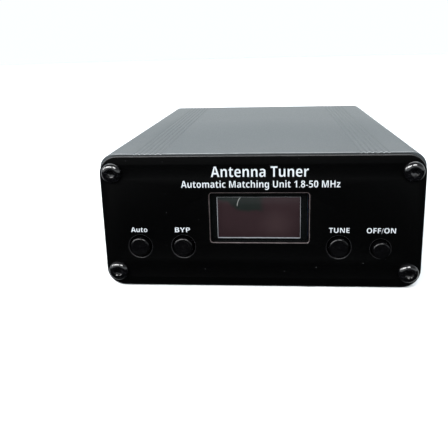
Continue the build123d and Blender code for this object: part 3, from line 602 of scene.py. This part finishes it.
def flatPlate(outlines, thickness, edgeRound, frontAt):
    # outlines as (x, z, width, height, corner) in mm, filled between the first and the rest
    curve = bpy.data.curves.new("plate", "CURVE")
    curve.dimensions = "2D"
    curve.fill_mode = "BOTH"
    for outline in outlines:
        roundedOutline(curve, *outline)
    curve.offset = -edgeRound * mm
    curve.bevel_depth = edgeRound * mm
    curve.bevel_resolution = 2
    curve.extrude = (thickness / 2 - edgeRound) * mm
    holder = bpy.data.objects.new("plate", curve)
    scene.collection.objects.link(holder)
    bpy.context.view_layer.update()
    mesh = bpy.data.meshes.new_from_object(holder.evaluated_get(bpy.context.evaluated_depsgraph_get()))
    shape = bmesh.new()
    shape.from_mesh(mesh)
    bpy.data.objects.remove(holder)
    bpy.data.meshes.remove(mesh)
    upright = Matrix.Rotation(math.pi / 2, 3, "X")
    bmesh.ops.rotate(shape, verts=shape.verts[:], cent=(0, 0, 0), matrix=upright)
    bmesh.ops.translate(shape, verts=shape.verts[:], vec=(0, frontAt + thickness / 2 * mm, 0))
    closeUp(shape)
    return shape


def hole(x, z, radius):
    return (x, z, 2 * radius, 2 * radius, radius)


def fourHoles(x, z, step, radius):
    return [hole(x + dx, z + dz, radius) for dx in (-step, step) for dz in (-step, step)]


def plateOutline(low, high):
    width, height = (high.x - low.x) / mm, (high.z - low.z) / mm
    return (0, midZ / mm, width, height, plateLook["corner"])


def screwPlaces():
    look = plateLook
    return [(x, midZ / mm + z) for x in (-look["screwX"], look["screwX"])
            for z in (-look["screwRise"], look["screwRise"])]


def plateFinishes():
    return [finishes[name] for name in ("panelAnodising", "plateSide", "plateEdge")]


def paintPlate(shape, front, rear):
    # 0 for the two flat faces, 1 for the sides, 2 for the rounded edges
    for face in shape.faces:
        spot = face.calc_center_median()
        edge = min(spot.y - front, rear - spot.y) < plateLook["edgeRound"] * mm
        face.material_index = 0 if abs(face.normal.y) > 0.99 else 2 if edge else 1


def makeFrontPlate(look):
    outlines = [plateOutline(panelLow, panelHigh), look["window"]]
    outlines += [hole(x, z, look["screwHole"]) for x, z in screwPlaces()]
    for node in ("auto_button", "bypass_button", "tune_button"):
        outlines.append(hole(*nodeCentre(node), look["keyHole"]))
    outlines.append(hole(*nodeCentre("power_button"), look["powerHole"]))
    thickness = (panelHigh.y - panelLow.y) / mm
    shape = flatPlate(outlines, thickness, look["edgeRound"], frontY)
    x, z, width, height, _ = look["window"]
    paintPlate(shape, panelLow.y, panelHigh.y)
    for face in shape.faces:
        spot = face.calc_center_median()
        inside = abs(spot.x / mm - x) < width / 2 + 0.5 and abs(spot.z / mm - z) < height / 2 + 0.5
        if inside and face.material_index == 2 and spot.y < frontY + 1 * mm:
            face.material_index = 3
    addPiece("frontPlate", shape, plateFinishes() + [finishes["bareEdge"]], "chassis",
             ["front_panel"])


def makeRearPlate(look):
    outlines = [plateOutline(rearLow, rearHigh)]
    outlines += [hole(x, z, look["screwHole"]) for x, z in screwPlaces()]
    for node in ("antenna_socket_shell", "transmitter_socket_shell"):
        x, z = nodeCentre(node)
        outlines.append(hole(x, z, look["socketHole"]))
        outlines += fourHoles(x, z, socketLook["screwStep"], look["screwHole"])
    outlines.append(hole(*nodeCentre("ground_stud"), look["groundHole"]))
    outlines.append(hole(*nodeCentre("inlet_body"), look["inletHole"]))
    thickness = (rearHigh.y - rearLow.y) / mm
    shape = flatPlate(outlines, thickness, look["edgeRound"], rearLow.y)
    paintPlate(shape, rearLow.y, rearHigh.y)
    addPiece("rearPlate", shape, plateFinishes(), "chassis", ["rear_panel"])


# printed words

frontPrint = [
    # words, centre X, baseline Z above the panel's middle, capital height, width, all in mm
    ("Antenna Tuner", 0.0, 12.85, 2.9, 26.1),
    ("Automatic Matching Unit 1.8-50 MHz", 0.05, 9.9, 1.9, 42.7),
    ("Auto", -33.7, -2.85, 1.4, 4.6),
    ("BYP", -21.5, -2.85, 1.4, 4.2),
    ("TUNE", 21.4, -2.85, 1.4, 5.5),
    ("OFF/ON", 32.6, -2.95, 1.45, 7.7),
]
rearPrint = [
    ("ANT", 24.0, 13.9, 1.6, 5.0),
    ("TX", -24.0, 13.9, 1.6, 3.2),
    ("GND", 0.0, 13.9, 1.6, 5.2),
    ("DC IN", 0.0, -14.6, 1.6, 7.4),
]
printLook = {
    "thickness": 0.02,
    "bold": -0.012,  # how far each stroke's edge moves outwards, at letter size 1
    "letters": {"A": 0x1D5D4, "a": 0x1D5EE, "0": 0x1D7EC},  # where each bold alphabet starts
}


def printLetters(words):
    # the built-in font's upright bold letters and figures
    made = ""
    for letter in words:
        first = "A" if letter.isupper() else "a" if letter.islower() else "0"
        bold = chr(printLook["letters"][first] + ord(letter) - ord(first)) if letter.isalnum() else letter
        made += bold
    return made


def wordMesh(words):
    # built-in lettering at size 1, with a thickness, as a mesh in the XY plane
    text = bpy.data.curves.new("words", "FONT")
    text.body = words
    text.align_x = "CENTER"
    text.offset = printLook["bold"]
    text.extrude = printLook["thickness"] / 2
    text.resolution_u = 4
    holder = bpy.data.objects.new("words", text)
    scene.collection.objects.link(holder)
    bpy.context.view_layer.update()
    mesh = bpy.data.meshes.new_from_object(holder.evaluated_get(bpy.context.evaluated_depsgraph_get()))
    bpy.data.objects.remove(holder)
    return mesh


def span(mesh, axis):
    values = [v.co[axis] for v in mesh.vertices]
    return min(values), max(values)


def makePrint(name, lines, at, facing):
    # facing is -1 for words read from the front and 1 for words read from behind
    low, capital = span(wordMesh(printLetters("H")), 1)
    isBold = low > -0.05  # a missing letter would come as a box that hangs under the line
    if not isBold:
        capital = span(wordMesh("H"), 1)[1]
    shape = bmesh.new()
    for words, x, z, height, width in lines:
        mesh = wordMesh(printLetters(words) if isBold else words)
        left, right = span(mesh, 0)
        made = pourIn(shape, mesh)
        bpy.data.meshes.remove(mesh)
        bmesh.ops.translate(shape, verts=made, vec=(-(left + right) / 2, 0, 0))
        scale = (width / (right - left) * mm, height / capital * mm, mm)
        bmesh.ops.scale(shape, verts=made, vec=scale)
        turn = Matrix.Rotation(math.pi / 2, 3, "X")
        if facing > 0:
            turn = Matrix.Rotation(math.pi, 3, "Z") @ turn
        bmesh.ops.rotate(shape, verts=made, cent=(0, 0, 0), matrix=turn)
        bmesh.ops.translate(shape, verts=made, vec=(x * mm, at, midZ + z * mm))
    closeUp(shape)
    addPiece(name, shape, [finishes["panelPrint"]], "chassis")


# button head screws

screwLook = {
    "headR": 2.85, "headHeight": 1.65, "topR": 1.45, "edge": 0.30, "keyFlats": 2.0, "keyDepth": 1.04,
    "shankR": 1.45, "length": 8.0, "pitch": 0.5, "threadDepth": 0.18,
}


def buttonScrew(look):
    # head towards -Y standing on Y = 0, shank towards +Y
    top, height, radius = look["topR"], look["headHeight"], look["headR"]
    socket = look["keyFlats"] / 2 * 1.06
    # the dome is an arc from the flat top down to the edge
    rise = height - look["edge"]
    run = radius - top
    dome = (run * run + rise * rise) / (2 * rise)
    sweep = math.degrees(math.asin(min(1, run / dome)))
    points = [(0, -(height - look["keyDepth"] - 0.25)), (socket * 0.96, -(height - look["keyDepth"]))]
    points += [(socket, -(height - 0.12)), (socket + 0.10, -height + 0.01), (top * 0.92, -height)]
    points += [(r, -d) for r, d in corner(dome, (top, height - dome), 90, 90 - sweep, 7)]
    points += [(r, -d) for r, d in corner(look["edge"], (radius - look["edge"], look["edge"]), 15, -90, 4)]
    rows = int(look["length"] / look["pitch"] * 4)
    points += [(look["shankR"], i * look["length"] / rows) for i in range(rows + 1)]
    points += [(look["shankR"] * 0.7, look["length"] + 0.0), (0, look["length"])]
    shape = lathe(points, 48)
    for v in shape.verts:
        reach = math.hypot(v.co.x, v.co.z)
        if v.co.y < 0 and 0.2 * mm < reach < (socket + 0.05) * mm:
            turn = math.atan2(v.co.z, v.co.x) % (math.pi / 3) - math.pi / 6
            share = look["keyFlats"] / 2 * mm / math.cos(turn) / reach
            v.co.x *= share
            v.co.z *= share
    cutThread(shape, look["shankR"], look["threadDepth"], look["pitch"], 0.3, look["length"])
    return shape


def makePanelScrews():
    turns = [0.35, 0.9, 0.1, 0.65]  # how far each was tightened, in radians
    for name, at, facing, node in (("frontScrews", frontY, 0, "front_panel_screws"),
                                   ("rearScrews", rearY, math.pi, "rear_panel_screws")):
        places = []
        for (x, z), turn in zip(screwPlaces(), turns):
            spin = Matrix.Rotation(facing, 4, "Z") @ Matrix.Rotation(turn, 4, "Y")
            places.append(Matrix.Translation((x * mm, at, z * mm)) @ spin)
        shape = bmesh.new()
        copyInto(shape, buttonScrew(screwLook), places)
        addPiece(name, shape, [finishes["blackOxide"]], "chassis", [node])


# button caps

keyLook = {
    "small": {"radius": 2.7, "flange": 3.9, "stem": 1.75, "edge": 0.5, "dish": 0.12, "nib": 0.22},
    "power": {"radius": 2.35, "flange": 3.1, "stem": 1.5, "edge": 0.45, "dish": 0.0, "nib": 0.0},
    "flangeFront": 0.4, "flangeThickness": 0.7,
}


def keyCap(look, low, high):
    # turned about Y: face, rounded edge, side, flange, sleeve and the blind bore for the stem
    front, rear = low.y / mm, high.y / mm
    radius, edge = look["radius"], look["edge"]
    panelBack = panelHigh.y / mm
    flangeFront = panelBack + keyLook["flangeFront"]
    flangeRear = flangeFront + keyLook["flangeThickness"]
    points = [(0, front + look["dish"] - look["nib"] * 0.3)]
    if look["nib"]:
        points += [(look["nib"], front + look["dish"] - 0.02), (look["nib"] + 0.05, front + look["dish"])]
    points += [(radius * 0.45, front + look["dish"] * 0.75)]
    points += [(radius - edge - 0.25, front + look["dish"] * 0.1)]
    points += [(r, d) for r, d in corner(edge, (radius - edge, front + edge), -90, 0, 6)]
    points += [(radius, flangeFront - 0.15), (radius + 0.15, flangeFront)]
    points += [(look["flange"] - 0.1, flangeFront), (look["flange"], flangeFront + 0.1)]
    points += [(look["flange"], flangeRear - 0.1), (look["flange"] - 0.1, flangeRear)]
    points += [(radius, flangeRear), (radius, rear), (look["stem"], rear)]
    points += [(look["stem"], flangeFront), (0, flangeFront)]
    return lathe(points, 64)


def makeKeys():
    keys = [("auto", "auto_key", "small"), ("bypass", "bypass_key", "small"), ("tune", "tune_key", "small"),
            ("power", "power_key", "power")]
    for name, body, kind in keys:
        node = name + "_button"
        low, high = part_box(node)
        shape = keyCap(keyLook[kind], low, high)
        x, z = nodeCentre(node)
        bmesh.ops.translate(shape, verts=shape.verts[:], vec=(x * mm, 0, z * mm))
        addPiece(name + "Cap", shape, [finishes["keyPlastic"]], body, [node])


# display

displayLook = {
    "filmEdge": 0.05, "lineStep": 0.03,
    "lines": {"bottom": 0.30, "left": 0.16, "right": 0.09, "top": 0.03},  # widths of the light strips along the film's cut edges, a painted highlight that is widest where the edges catch most light
}


def makeDisplay(look):
    low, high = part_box("display_polariser")
    shape = bmesh.new()
    softBlock(shape, low, high, look["filmEdge"] * mm)
    addPiece("displayFilm", shape, [finishes["displayFilm"]], "chassis",
             ["display_polariser"])
    # painted highlight: light strips laid along the film's cut edges
    shape = bmesh.new()
    wide = {side: width * mm / 2 for side, width in look["lines"].items()}
    front = low.y - look["lineStep"] * mm
    strips = [
        ((low.x, low.z - wide["bottom"]), (high.x, low.z + wide["bottom"])),
        ((low.x, high.z - wide["top"]), (high.x, high.z + wide["top"])),
        ((low.x - wide["left"], low.z), (low.x + wide["left"], high.z)),
        ((high.x - wide["right"], low.z), (high.x + wide["right"], high.z)),
    ]
    for (x0, z0), (x1, z1) in strips:
        softBlock(shape, (x0, front, z0), (x1, high.y, z1), 0.02 * mm)
    addPiece("filmEdgeHighlights", shape, [finishes["filmEdge"]], "chassis")


# coaxial sockets

socketLook = {
    "flange": 25.0, "flangeThick": 2.4, "flangeCorner": 2.0, "screwStep": 9.1, "screwHole": 1.65,
    "barrelR": 7.94, "boreR": 6.4, "rootR": 7.25, "spigotR": 7.8, "spigotFrom": 54.0, "mouth": 75.4,
    "pitch": 1.058, "threadDepth": 0.55, "notchWidth": 1.6, "notchDepth": 0.9,
    "insulatorR": 6.35, "insulatorTailR": 5.5,
    "contactR": 2.6, "contactBoreR": 2.0, "contactBoreDepth": 12.0, "contactTailR": 1.9,
}


def socketBarrel(look):
    # tube with an outside thread, a relief behind it and four notches in the mouth
    face = rearY / mm + look["flangeThick"]
    mouth, radius = look["mouth"], look["barrelR"]
    first, last = face + 1.1, mouth - 1.0
    points = [(look["boreR"], look["spigotFrom"]), (look["spigotR"], look["spigotFrom"])]
    points += [(look["spigotR"], rearY / mm + 0.5), (look["rootR"], rearY / mm + 0.6)]
    points += [(look["rootR"], face + 0.9)]
    rows = int((last - first) / look["pitch"] * 6)
    points += [(radius, first + (last - first) * i / rows) for i in range(rows + 1)]
    points += [(radius - 0.35, mouth - 0.35), (radius - 0.55, mouth), (look["boreR"] + 0.3, mouth)]
    points += [(look["boreR"], mouth - 0.3), (look["boreR"], look["spigotFrom"])]
    shape = lathe(points, 80)
    cutThread(shape, radius, look["threadDepth"], look["pitch"], first, last)
    for v in shape.verts:
        along = v.co.y / mm
        reach = math.hypot(v.co.x, v.co.z) / mm
        if along < mouth - 0.36 or reach < look["boreR"] - 0.01:
            continue
        turn = (math.atan2(v.co.z, v.co.x) + math.pi / 4) % (math.pi / 2) - math.pi / 4
        if abs(turn) * radius < look["notchWidth"] / 2:
            v.co.y -= look["notchDepth"] * mm * (1 if along > mouth - 0.1 else 0.85)
    return shape


def makeSockets(look):
    square = look["flange"]
    for name in ("antenna", "transmitter"):
        x, z = nodeCentre(name + "_socket_shell")
        outlines = [(x, z, square, square, look["flangeCorner"]), hole(x, z, look["boreR"] + 0.1)]
        outlines += fourHoles(x, z, look["screwStep"], look["screwHole"])
        shape = flatPlate(outlines, look["flangeThick"], 0.3, rearY)
        copyInto(shape, socketBarrel(look), [Matrix.Translation((x * mm, 0, z * mm))])
        addPiece(name + "Barrel", shape, [finishes["nickelPlate"]], "chassis",
                 [name + "_socket_shell"])

        low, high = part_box(name + "_socket_insulator")
        front, back = low.y / mm, high.y / mm
        stepAt, inner = look["spigotFrom"], look["contactR"]
        outer, tail = look["insulatorR"], look["insulatorTailR"]
        points = [(inner, front), (tail, front), (tail, stepAt), (outer, stepAt), (outer, back - 0.35)]
        points += [(outer - 0.35, back), (4.5, back)]
        points += [(4.35, back - 0.35), (3.35, back - 0.35), (3.2, back)]  # a groove round the face
        points += [(inner + 0.15, back), (inner, back - 0.15), (inner, front)]
        shape = lathe(points, 64)
        bmesh.ops.translate(shape, verts=shape.verts[:], vec=(x * mm, 0, z * mm))
        addPiece(name + "Insulator", shape, [finishes["fluoroplastic"]], "chassis",
                 [name + "_socket_insulator"])

        low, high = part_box(name + "_socket_contact")
        front, back = low.y / mm, high.y / mm
        outer, inner, tail = look["contactR"], look["contactBoreR"], look["contactTailR"]
        deep = back - look["contactBoreDepth"]
        points = [(0, deep), (inner, deep + 0.2), (inner, back - 0.25), (inner + 0.2, back)]
        points += [(outer - 0.2, back), (outer, back - 0.2), (outer, front + 3.0)]
        points += [(tail, front + 2.9), (tail, front + 0.2), (tail - 0.2, front)]
        points += [(1.15, front), (1.1, front + 2.2), (0, front + 2.4)]  # the cup for the lead
        shape = lathe(points, 40)
        bmesh.ops.translate(shape, verts=shape.verts[:], vec=(x * mm, 0, z * mm))
        addPiece(name + "Contact", shape, [finishes["silverPlate"]], "chassis",
                 [name + "_socket_contact"])


crossLook = {
    "headR": 2.75, "headHeight": 1.9, "flatR": 1.85, "shankR": 1.45, "length": 8.0,
    "pitch": 0.5, "threadDepth": 0.18,
    "armHalf": 1.25, "armWidth": 0.6, "recess": 1.0, "taper": 0.62,  # the cross and its floor
}


def crossScrew(look):
    # head towards +Y standing on Y = 0, with a tapered cross recess; shank towards -Y
    height, flat = look["headHeight"], look["flatR"]
    dome = [(look["headR"], 0.35)]
    dome += [(r, d) for r, d in corner(1.0, (look["headR"] - 1.0, height - 1.2), 25, 75, 5)]
    dome += [(flat, height - 0.04)]
    rows = int(look["length"] / look["pitch"] * 4)
    points = [(0, -look["length"]), (look["shankR"] * 0.7, -look["length"])]
    start = -look["length"] + 0.4
    points += [(look["shankR"], start * (1 - i / rows)) for i in range(rows + 1)]
    points += [(look["headR"] - 0.1, 0), (look["headR"], 0.1)] + dome
    shape = lathe(points, 48)
    cutThread(shape, look["shankR"], look["threadDepth"], look["pitch"], start, -0.2)
    rim = [e for e in shape.edges if e.is_boundary]
    w, a = look["armWidth"] / 2, look["armHalf"]
    cross = [(w, w), (a, w), (a, -w), (w, -w), (w, -a), (-w, -a)]
    cross += [(-x, -z) for x, z in cross]
    top = [shape.verts.new((x * mm, (height - 0.04) * mm, z * mm)) for x, z in cross]
    floor, taper = (height - look["recess"]) * mm, look["taper"] * mm
    low = [shape.verts.new((x * taper, floor, z * taper)) for x, z in cross]
    loop = [shape.edges.new((top[i], top[i - 1])) for i in range(len(top))]
    bmesh.ops.triangle_fill(shape, use_beauty=True, edges=rim + loop)
    for i in range(len(top)):
        shape.faces.new((top[i - 1], top[i], low[i], low[i - 1]))
    shape.faces.new(low)
    closeUp(shape)
    return shape


def makeSocketScrews():
    step = socketLook["screwStep"]
    face = rearY + socketLook["flangeThick"] * mm
    places = []
    for i, name in enumerate(("antenna", "transmitter")):
        x, z = nodeCentre(name + "_socket_shell")
        for k, (dx, dz) in enumerate(((-step, -step), (step, -step), (-step, step), (step, step))):
            turned = Matrix.Rotation(0.3 + 1.1 * k + 0.7 * i, 4, "Y")
            places.append(Matrix.Translation(((x + dx) * mm, face, (z + dz) * mm)) @ turned)
    shape = bmesh.new()
    copyInto(shape, crossScrew(crossLook), places)
    addPiece("socketScrews", shape, [finishes["zincSteel"]], "chassis", ["socket_screws"])


# ground post

groundLook = {
    "studR": 1.95, "pitch": 0.7, "threadDepth": 0.38, "nutFlats": 7.0, "nutThick": 2.4,
    "knurls": 24, "knurlDepth": 0.35,
}


def hexNut(flats, bore, thick, chamfer=0.35):
    # hexagon with its corners turned off, front face on Y = 0
    points = [(bore, 0.3), (bore + 0.3, 0), (flats / 2 * 0.96, 0), (flats / 2 * 1.02, 0.02)]
    points += [(flats / 2 * 1.2, chamfer), (flats / 2 * 1.2, thick - chamfer)]
    points += [(flats / 2 * 1.02, thick - 0.02), (flats / 2 * 0.96, thick), (bore + 0.3, thick)]
    points += [(bore, thick - 0.3), (bore, 0.3)]
    shape = lathe(points, 72)
    for v in shape.verts:
        reach = math.hypot(v.co.x, v.co.z)
        if reach < flats / 2 * mm:
            continue
        turn = math.atan2(v.co.z, v.co.x) % (math.pi / 3) - math.pi / 6
        share = min(1, flats / 2 * mm / math.cos(turn) / reach)
        v.co.x *= share
        v.co.z *= share
    return shape


def makeGroundPost(look):
    x, z = nodeCentre("ground_stud")
    spot = Matrix.Translation((x * mm, 0, z * mm))
    low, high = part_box("ground_stud")
    front, back = low.y / mm, high.y / mm
    radius = look["studR"]
    first, last = front + 0.4, back - 0.5
    rows = int((last - first) / look["pitch"] * 6)
    points = [(0, front), (radius * 0.8, front)]
    points += [(radius, first + (last - first) * i / rows) for i in range(rows + 1)]
    points += [(radius * 0.78, back), (0, back)]
    shape = bmesh.new()
    stud = lathe(points, 36)
    cutThread(stud, radius, look["threadDepth"], look["pitch"], first, last)
    copyInto(shape, stud, [spot])
    addPiece("groundStud", shape, [finishes["turnedBrass"]], "chassis", ["ground_stud"])

    shape = bmesh.new()
    low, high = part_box("ground_lock_nuts")
    thick = look["nutThick"]
    for at, turn in ((low.y, 0.2), (rearY, 0.0)):
        place = Matrix.Translation((x * mm, at, z * mm)) @ Matrix.Rotation(turn, 4, "Y")
        copyInto(shape, hexNut(look["nutFlats"], radius + 0.02, thick), [place])
    addPiece("groundNuts", shape, [finishes["turnedBrass"]], "chassis",
             ["ground_lock_nuts"])

    low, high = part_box("ground_washer")
    front, back = low.y / mm, high.y / mm
    outer = (high.x - low.x) / 2 / mm
    points = [(radius + 0.2, front), (outer - 0.15, front), (outer, front + 0.15), (outer, back - 0.25)]
    points += [(outer - 0.1, back - 0.08), (outer - 0.25, back), (radius + 0.35, back)]
    points += [(radius + 0.2, back - 0.15), (radius + 0.2, front)]
    shape = lathe(points, 64)
    bmesh.ops.transform(shape, matrix=spot, verts=shape.verts[:])
    addPiece("groundWasher", shape, [finishes["turnedBrass"]], "ground_washer_body",
             ["ground_washer"])

    low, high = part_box("ground_thumb_nut")
    front, back = low.y / mm, high.y / mm
    outer = (high.x - low.x) / 2 / mm
    collar = front + (back - front) * 0.3
    points = [(radius + 0.05, front + 0.3), (radius + 0.35, front), (outer * 0.75 - 0.2, front)]
    points += [(outer * 0.75, front + 0.2), (outer * 0.75, collar - 0.25), (outer * 0.75 + 0.1, collar)]
    points += [(outer - 0.4, collar), (outer, collar + 0.4), (outer, collar + 1.4), (outer, back - 1.4)]
    points += [(outer, back - 0.4), (outer - 0.4, back), (outer - 1.3, back), (outer - 1.5, back - 0.25)]
    points += [(radius + 0.9, back - 0.25), (radius + 0.7, back), (radius + 0.4, back)]
    points += [(radius + 0.05, back - 0.35), (radius + 0.05, front + 0.3)]
    shape = lathe(points, look["knurls"] * 8)
    for v in shape.verts:
        reach = math.hypot(v.co.x, v.co.z) / mm
        if reach > outer - 0.05:
            turn = math.atan2(v.co.z, v.co.x) / (2 * math.pi) * look["knurls"] % 1
            cut = max(0, 1 - 3.2 * min(turn, 1 - turn)) ** 0.7 * look["knurlDepth"] / outer
            v.co.x *= 1 - cut
            v.co.z *= 1 - cut
    bmesh.ops.transform(shape, matrix=spot, verts=shape.verts[:])
    addPiece("groundThumbNut", shape, [finishes["turnedBrass"]], "ground_nut_body",
             ["ground_thumb_nut"])


# power inlet

inletLook = {"barrelR": 4.0, "flangeR": 5.3, "boreR": 2.9, "boreEnd": 49.5, "pinR": 1.05}


def makeInlet(look):
    x, z = nodeCentre("inlet_body")
    low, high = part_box("inlet_body")
    front, back, face = low.y / mm, high.y / mm, rearY / mm
    flange, barrel, bore = look["flangeR"], look["barrelR"], look["boreR"]
    points = [(0, front), (barrel - 0.3, front), (barrel, front + 0.3), (barrel, face)]
    points += [(flange - 0.1, face), (flange, face + 0.1)]
    points += corner(0.6, (flange - 0.6, back - 0.6), 0, 90, 5)
    points += [(flange - 1.15, back), (flange - 1.25, back - 0.15), (bore + 0.55, back - 0.15)]
    points += [(bore, back - 0.6), (bore, look["boreEnd"]), (0, look["boreEnd"])]
    shape = lathe(points, 64)
    bmesh.ops.translate(shape, verts=shape.verts[:], vec=(x * mm, 0, z * mm))
    addPiece("inletBody", shape, [finishes["inletPlastic"]], "chassis", ["inlet_body"])

    low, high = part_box("inlet_pin")
    front, back, radius = low.y / mm, high.y / mm, look["pinR"]
    points = [(0, front), (radius, front), (radius, back - 0.8)]
    points += corner(0.5, (radius - 0.5, back - 0.5), 0, 80, 5) + [(0, back)]
    shape = lathe(points, 32)
    bmesh.ops.translate(shape, verts=shape.verts[:], vec=(x * mm, 0, z * mm))
    addPiece("inletPin", shape, [finishes["tinPlate"]], "chassis", ["inlet_pin"])


# wound wire: the spring behind the power button and the turns on the ring cores


def tubeAlong(shape, points, radius, sides=8):
    # a round wire through the points, in mm, closed at both ends
    rings = []
    side = None
    for i, point in enumerate(points):
        ahead = Vector(points[min(i + 1, len(points) - 1)]) - Vector(points[max(i - 1, 0)])
        ahead.normalize()
        side = (side if side else ahead.orthogonal())
        side = (side - ahead * side.dot(ahead)).normalized()
        across = ahead.cross(side)
        ring = []
        for k in range(sides):
            turn = 2 * math.pi * k / sides
            spot = Vector(point) + (side * math.cos(turn) + across * math.sin(turn)) * radius
            ring.append(shape.verts.new(spot * mm))
        rings.append(ring)
    for first, second in zip(rings, rings[1:]):
        for k in range(sides):
            shape.faces.new((first[k - 1], first[k], second[k], second[k - 1]))
    shape.faces.new(rings[0])
    shape.faces.new(rings[-1])


springLook = {"wireR": 0.15, "turns": 5.5, "closed": 0.75, "perTurn": 20, "travel": 1.5}


def makeSpring(look):
    low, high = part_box("power_switch_spring")
    x, z = nodeCentre("power_switch_spring")
    wire = look["wireR"]
    radius = (high.x - low.x) / 2 / mm - wire
    front, rear = low.y / mm + wire, high.y / mm - wire
    count = int(look["turns"] * look["perTurn"])
    points = []
    for i in range(count + 1):
        turn = i / look["perTurn"]
        # the end turns lie nearly flat, the ones between are spread
        free = min(max(turn - look["closed"], 0), look["turns"] - 2 * look["closed"])
        share = (free / (look["turns"] - 2 * look["closed"])) * 0.84 + 0.16 * turn / look["turns"]
        angle = 2 * math.pi * turn
        along = front + (rear - front) * share
        points.append((x + radius * math.cos(angle), along, z + radius * math.sin(angle)))
    shape = bmesh.new()
    tubeAlong(shape, points, wire)
    closeUp(shape, 0.00001 * mm)
    spring = addPiece("powerSpring", shape, [finishes["springSteel"]], "chassis",
                      ["power_switch_spring"])
    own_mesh(spring)


coreLook = {
    "coreR": 9.1, "outerR": 9.6, "innerR": 5.8, "halfHeight": 3.7, "wireR": 0.5,
    "turns": 25, "arc": 320.0, "perTurn": 20,
}


def makeWindings(look):
    low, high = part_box("toroid_cores")
    reach = (high.x - low.x) / 2 / mm - look["coreR"]
    deep = (high.y - low.y) / 2 / mm - look["coreR"]
    middle = (low + high) / 2 / mm
    average = (look["outerR"] + look["innerR"]) / 2
    spread = (look["outerR"] - look["innerR"]) / 2
    shape = bmesh.new()
    for sx in (-1, 1):
        for sy in (-1, 1):
            cx, cy, cz = middle.x + sx * reach, middle.y + sy * deep, middle.z
            count = look["turns"] * look["perTurn"]
            points = []
            for i in range(count + 1):
                around = math.radians(look["arc"]) * (i / count - 0.5) + (0 if sx > 0 else math.pi)
                loop = 2 * math.pi * i / look["perTurn"]
                c, h = math.cos(loop), math.sin(loop)
                blunt = 1 / max(abs(c), abs(h)) ** 0.55  # between a circle and a square
                r = average + spread * min(1, abs(c * blunt)) * (1 if c > 0 else -1)
                rise = look["halfHeight"] * min(1, abs(h * blunt)) * (1 if h > 0 else -1)
                points.append((cx + r * math.cos(around), cy + r * math.sin(around), cz + rise))
            tubeAlong(shape, points, look["wireR"], 6)
    closeUp(shape, 0.00001 * mm)
    addPiece("coreTurns", shape, [finishes["enamelledCopper"]], "chassis",
             ["toroid_windings"])


makeCamera(cameraLook)
makeStudio(studioLook)
paintNodes()
easedHalf("lowerHalf", "bottom_shell")
easedHalf("upperHalf", "top_shell")
makeFrontPlate(plateLook)
makeRearPlate(plateLook)
print("case made")
makePrint("frontWords", frontPrint, frontY, -1)
makePrint("rearWords", rearPrint, rearY, 1)
makePanelScrews()
makeKeys()
makeDisplay(displayLook)
print("front made")
makeSockets(socketLook)
makeSocketScrews()
makeGroundPost(groundLook)
makeInlet(inletLook)
print("rear made")
makeSpring(springLook)
makeWindings(coreLook)
print("inside made")
